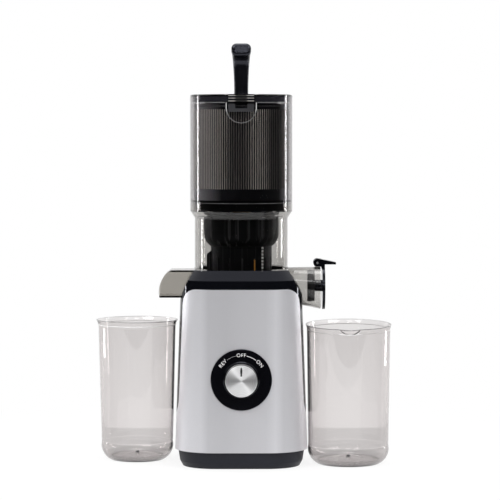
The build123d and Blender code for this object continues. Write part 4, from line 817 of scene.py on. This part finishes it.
def tongue_grip(drum_radius):
    """Frosted raised grip on the lid's tongue: a bar with two short arms, bent round the drum."""
    shape = bmesh.new()
    for left, right, low, high in ((-TAB_HALF_WIDTH, TAB_HALF_WIDTH, GRIP_LOW, GRIP_ARMS),
                                   (-TAB_HALF_WIDTH, -TAB_MIDDLE_HALF, GRIP_ARMS, GRIP_HIGH),
                                   (TAB_MIDDLE_HALF, TAB_HALF_WIDTH, GRIP_ARMS, GRIP_HIGH)):
        corners = ((low, 0.0), (low, GRIP_DEPTH), (high, GRIP_DEPTH), (high, 0.0))
        places = [left + (right - left) * step / GRIP_PARTS for step in range(GRIP_PARTS + 1)]
        add_bar(shape, [[on_drum(x, z, drum_radius, lift) for z, lift in corners] for x in places])
    add_piece("tongue_grip", shape_mesh("tongue_grip", shape), "grip_frost", "lid")


def tab_ridges():
    """Level ridges across the lid's tab."""
    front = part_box("lid_cover")[0].y + EDGE_BEAD
    for index, z in enumerate(TAB_RIDGES):
        ends = [Vector((x, front, z)) for x in (-TAB_HALF_WIDTH, TAB_HALF_WIDTH)]
        name = f"tab_ridge_{index + 1}"
        bead(name, ends, EDGE_BEAD, "ridge_light", "lid", closed=False)


def clear_edges():
    """Pale beads on the polished edges of the lid, the hopper and the bowl's collar: painted highlights.
    """
    drum_radius = half_width("hopper_shell")
    tongue_edge(drum_radius)
    tongue_grip(drum_radius)
    tab_ridges()
    # Pale beads at the lid's seam and the bowl's collar: painted highlights.
    seam = circle(drum_radius - SEAM_BEAD, LID_SEAM, NOTCH_GAP)
    bead("hopper_rim_edge", seam, SEAM_BEAD, "seam_painted_highlight", "hopper", closed=False)
    collar = circle(drum_radius - SEAM_BEAD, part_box("bowl")[1].z - SEAM_BEAD)
    bead("collar_edge", collar, SEAM_BEAD, "edge_painted_highlight", "bowl_unit")


# Cup and jug


def shifted(point, middle, inward, down):
    """The point, moved towards an upright axis through the middle, and down."""
    level = Vector((middle.x - point.x, middle.y - point.y, 0)).normalized()
    return point + level * inward - Vector((0, 0, down))


def rim_points(vessel):
    """The outer edge of a vessel's rim: in each sector the outermost of its highest points."""
    middle, top = middle_of(vessel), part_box(vessel)[1].z
    sectors = {}
    for vertex in frame["nodes"][vessel].data.vertices:
        arm = (vertex.co - middle).xy
        half_turns = math.atan2(arm.y, arm.x) / math.pi
        sectors.setdefault(int(half_turns * RIM_SECTORS / 2 + RIM_SECTORS), []).append(vertex.co)
    points = []
    for sector in sorted(sectors):
        highest = max(point.z for point in sectors[sector])
        if highest > top - RIM_FALL:
            rim = [point for point in sectors[sector] if point.z > highest - RIM_BEAD]
            points.append(max(rim, key=lambda point: (point - middle).xy.length))
    return [shifted(point, middle, RIM_BEAD, RIM_BEAD) for point in points]


def gate_mark(vessel):
    """Dark moulding nub in the middle of a vessel's floor."""
    middle = middle_of(vessel)
    place = Matrix.Translation((middle.x, middle.y, (GATE_LOW + GATE_HIGH) / 2))
    shape = bmesh.new()
    bmesh.ops.create_cone(shape, cap_ends=True, segments=24, radius1=GATE_RADIUS,
                          radius2=GATE_TOP_RADIUS, depth=GATE_HIGH - GATE_LOW, matrix=place)
    name = vessel + "_gate"
    add_piece(name, shape_mesh(name, shape), "charcoal", vessel)


def vessel_details():
    """Dark rim, pale band below it as a painted highlight, and floor nub of the cup and the jug."""
    for vessel in ("pulp_cup", "juice_jug"):
        rim, middle = rim_points(vessel), middle_of(vessel)
        band = [shifted(point, middle, RIM_TUCK, RIM_BAND) for point in rim]
        bead(vessel + "_rim", rim, RIM_BEAD, "rim_smoke", vessel)
        # Pale band under the rim: a painted highlight.
        bead(vessel + "_band", band, RIM_BEAD, "band_light", vessel)
        gate_mark(vessel)


# Basket


def basket_light_studs():
    """Pale studs in the basket's column of holes, painted as points of light."""
    shape = bmesh.new()
    x, y = BASKET_RADIUS * math.cos(STUD_TURN), BASKET_RADIUS * math.sin(STUD_TURN)
    for index in range(STUD_COUNT):
        place = Matrix.Translation((x, y, STUD_LOW + index * STUD_PITCH))
        bmesh.ops.create_uvsphere(shape, u_segments=12, v_segments=8, radius=STUD_RADIUS, matrix=place)
    mesh = shape_mesh("basket_light_studs", shape)
    add_piece("basket_light_studs", mesh, "stud_painted_light", "bowl_unit")


def amber_wiper():
    """Amber wiper seen through one slot of the basket, painted brighter than the auger as painted light.
    """
    shape = bmesh.new()
    turn = Matrix.Rotation(WIPER_TURN, 4, "Z")
    place = Matrix.Translation((BASKET_RADIUS - WIPER_SIZE[0], 0, WIPER_MIDDLE))
    bmesh.ops.create_cube(shape, size=1.0, matrix=turn @ place @ Matrix.Diagonal((*WIPER_SIZE, 1)))
    add_piece("wiper_strip", shape_mesh("wiper_strip", shape), "wiper_amber_lit", "bowl_unit")


# Stage


def world_light():
    """White to the camera; gloss and glass see a room that is dark ahead; the rest gets one level."""
    world = bpy.data.worlds.new("studio")
    bpy.context.scene.world = world
    sky = Nodes(world)

    def background(strength):
        node = sky.add("ShaderNodeBackground")
        node.inputs["Color"].default_value = WHITE
        node.inputs["Strength"].default_value = strength
        return node

    white, ambient, room = background(1.0), background(AMBIENT), background(1.0)
    direction = sky.add("ShaderNodeTexCoord").outputs["Generated"]
    behind = sky.ranged(sky.along("Y", direction), ROOM_SIDE, ROOM_BACK, ROOM_DARK, blend="SMOOTHSTEP")
    above = sky.ranged(sky.along("Z", direction), ROOM_HIGH, ROOM_TOP, ROOM_DARK, blend="SMOOTHSTEP")
    sky.link(sky.combined("MAXIMUM", behind, above), room.inputs["Color"])
    ray = sky.add("ShaderNodeLightPath").outputs
    bounced = sky.combined("MAXIMUM", ray["Is Glossy Ray"], ray["Is Transmission Ray"])
    lit = sky.layered(bounced, ambient.outputs["Background"], room.outputs["Background"])
    final = sky.layered(ray["Is Camera Ray"], lit, white.outputs["Background"])
    sky.link(final, sky.add("ShaderNodeOutputWorld").inputs["Surface"])


def floor_white():
    """Glows white to the camera and gloss, less where it takes the shadow; in glass, a duller table."""
    look = Finish("floor_white", Specular_IOR_Level=0.0, Roughness=0.9)
    darker, lighter = FLOOR_TONES
    look.paint(look.tones(look.noise(FLOOR_PATCHES), ((RAMP_LOW, darker), (RAMP_HIGH, lighter))))
    matt = look.shader.outputs["BSDF"]
    ray = look.add("ShaderNodeLightPath").outputs
    shown = look.combined("MAXIMUM", ray["Is Camera Ray"], ray["Is Glossy Ray"])
    away = look.length(look.place)
    fade = look.ranged(away, SHADOW_NEAR, SHADOW_FAR, FLOOR_GLOW, blend="SMOOTHSTEP")
    glow = look.add("ShaderNodeEmission").outputs["Emission"]
    plain = look.layered(look.combined("MULTIPLY", shown, fade), matt, glow)
    near, far = (1 - TABLE_FADE) * TABLE_EDGE, (1 + TABLE_FADE) * TABLE_EDGE
    table = look.ranged(look.along("Y", look.place), near, far, TABLE_TONE, blend="SMOOTHSTEP")
    table_glow = look.add("ShaderNodeEmission")
    look.link(table, table_glow.inputs["Strength"])
    in_glass = look.layered(FLOOR_GLOW_IN_GLASS, matt, table_glow.outputs["Emission"])
    look.surface(look.layered(ray["Is Transmission Ray"], plain, in_glass))
    return look.material


def white_floor():
    """Wide white sweep under the object and far behind it."""
    half, front, back = FLOOR_HALF_WIDTH, FLOOR_FRONT, FLOOR_BACK
    mesh = bpy.data.meshes.new("floor")
    corners = [(-half, front, 0), (half, front, 0), (half, back, 0), (-half, back, 0)]
    mesh.from_pydata(corners, [], [(0, 1, 2, 3)])
    floor = bpy.data.objects.new("floor", mesh)
    bpy.context.scene.collection.objects.link(floor)
    mesh.materials.append(floor_white())
    floor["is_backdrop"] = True


def soft_box(name, place, size, watts, target=LIT_MIDDLE):
    """Rectangular soft light aimed at a target."""
    lamp = bpy.data.lights.new(name, "AREA")
    lamp.shape = "RECTANGLE"
    lamp.size, lamp.size_y = size
    lamp.energy = watts
    box = bpy.data.objects.new(name, lamp)
    box.location = place
    box.rotation_euler = (target - Vector(place)).to_track_quat("-Z", "Y").to_euler()
    bpy.context.scene.collection.objects.link(box)


def strip_light(name, angle):
    """Tall narrow light that stands on the floor and faces the drive axis."""
    turn = math.radians(angle)
    middle = Vector((0, 0, STRIP_SIZE[1] / 2))
    place = middle + STRIP_DISTANCE * Vector((math.sin(turn), -math.cos(turn), 0))
    soft_box(name, place, STRIP_SIZE, STRIP_WATTS, middle)


def studio():
    world_light()
    white_floor()
    for name, angle in STRIP_ANGLES.items():
        strip_light(name, angle)
    for name, (place, size, watts) in SOFT_BOXES.items():
        soft_box(name, place, size, watts)
    soft_box("nose_box", NOSE_PLACE, NOSE_SIZE, NOSE_WATTS, Vector((0, 0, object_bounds()[1].z)))


def photo_camera():
    lens = bpy.data.cameras.new("photo_camera")
    lens.lens = CAMERA_LENS
    lens.sensor_width = SENSOR_WIDTH
    lens.clip_end = VIEW_DEPTH
    camera = bpy.data.objects.new("photo_camera", lens)
    camera.location = CAMERA_PLACE
    camera.rotation_euler = (math.pi / 2 - CAMERA_DIP, 0.0, CAMERA_TURN)
    bpy.context.scene.collection.objects.link(camera)
    bpy.context.scene.camera = camera


finish_nodes()
dial_print()
fluted_liner()
clear_edges()
vessel_details()
basket_light_studs()
amber_wiper()
studio()
photo_camera()
bpy.context.scene.view_settings.view_transform = "Standard"
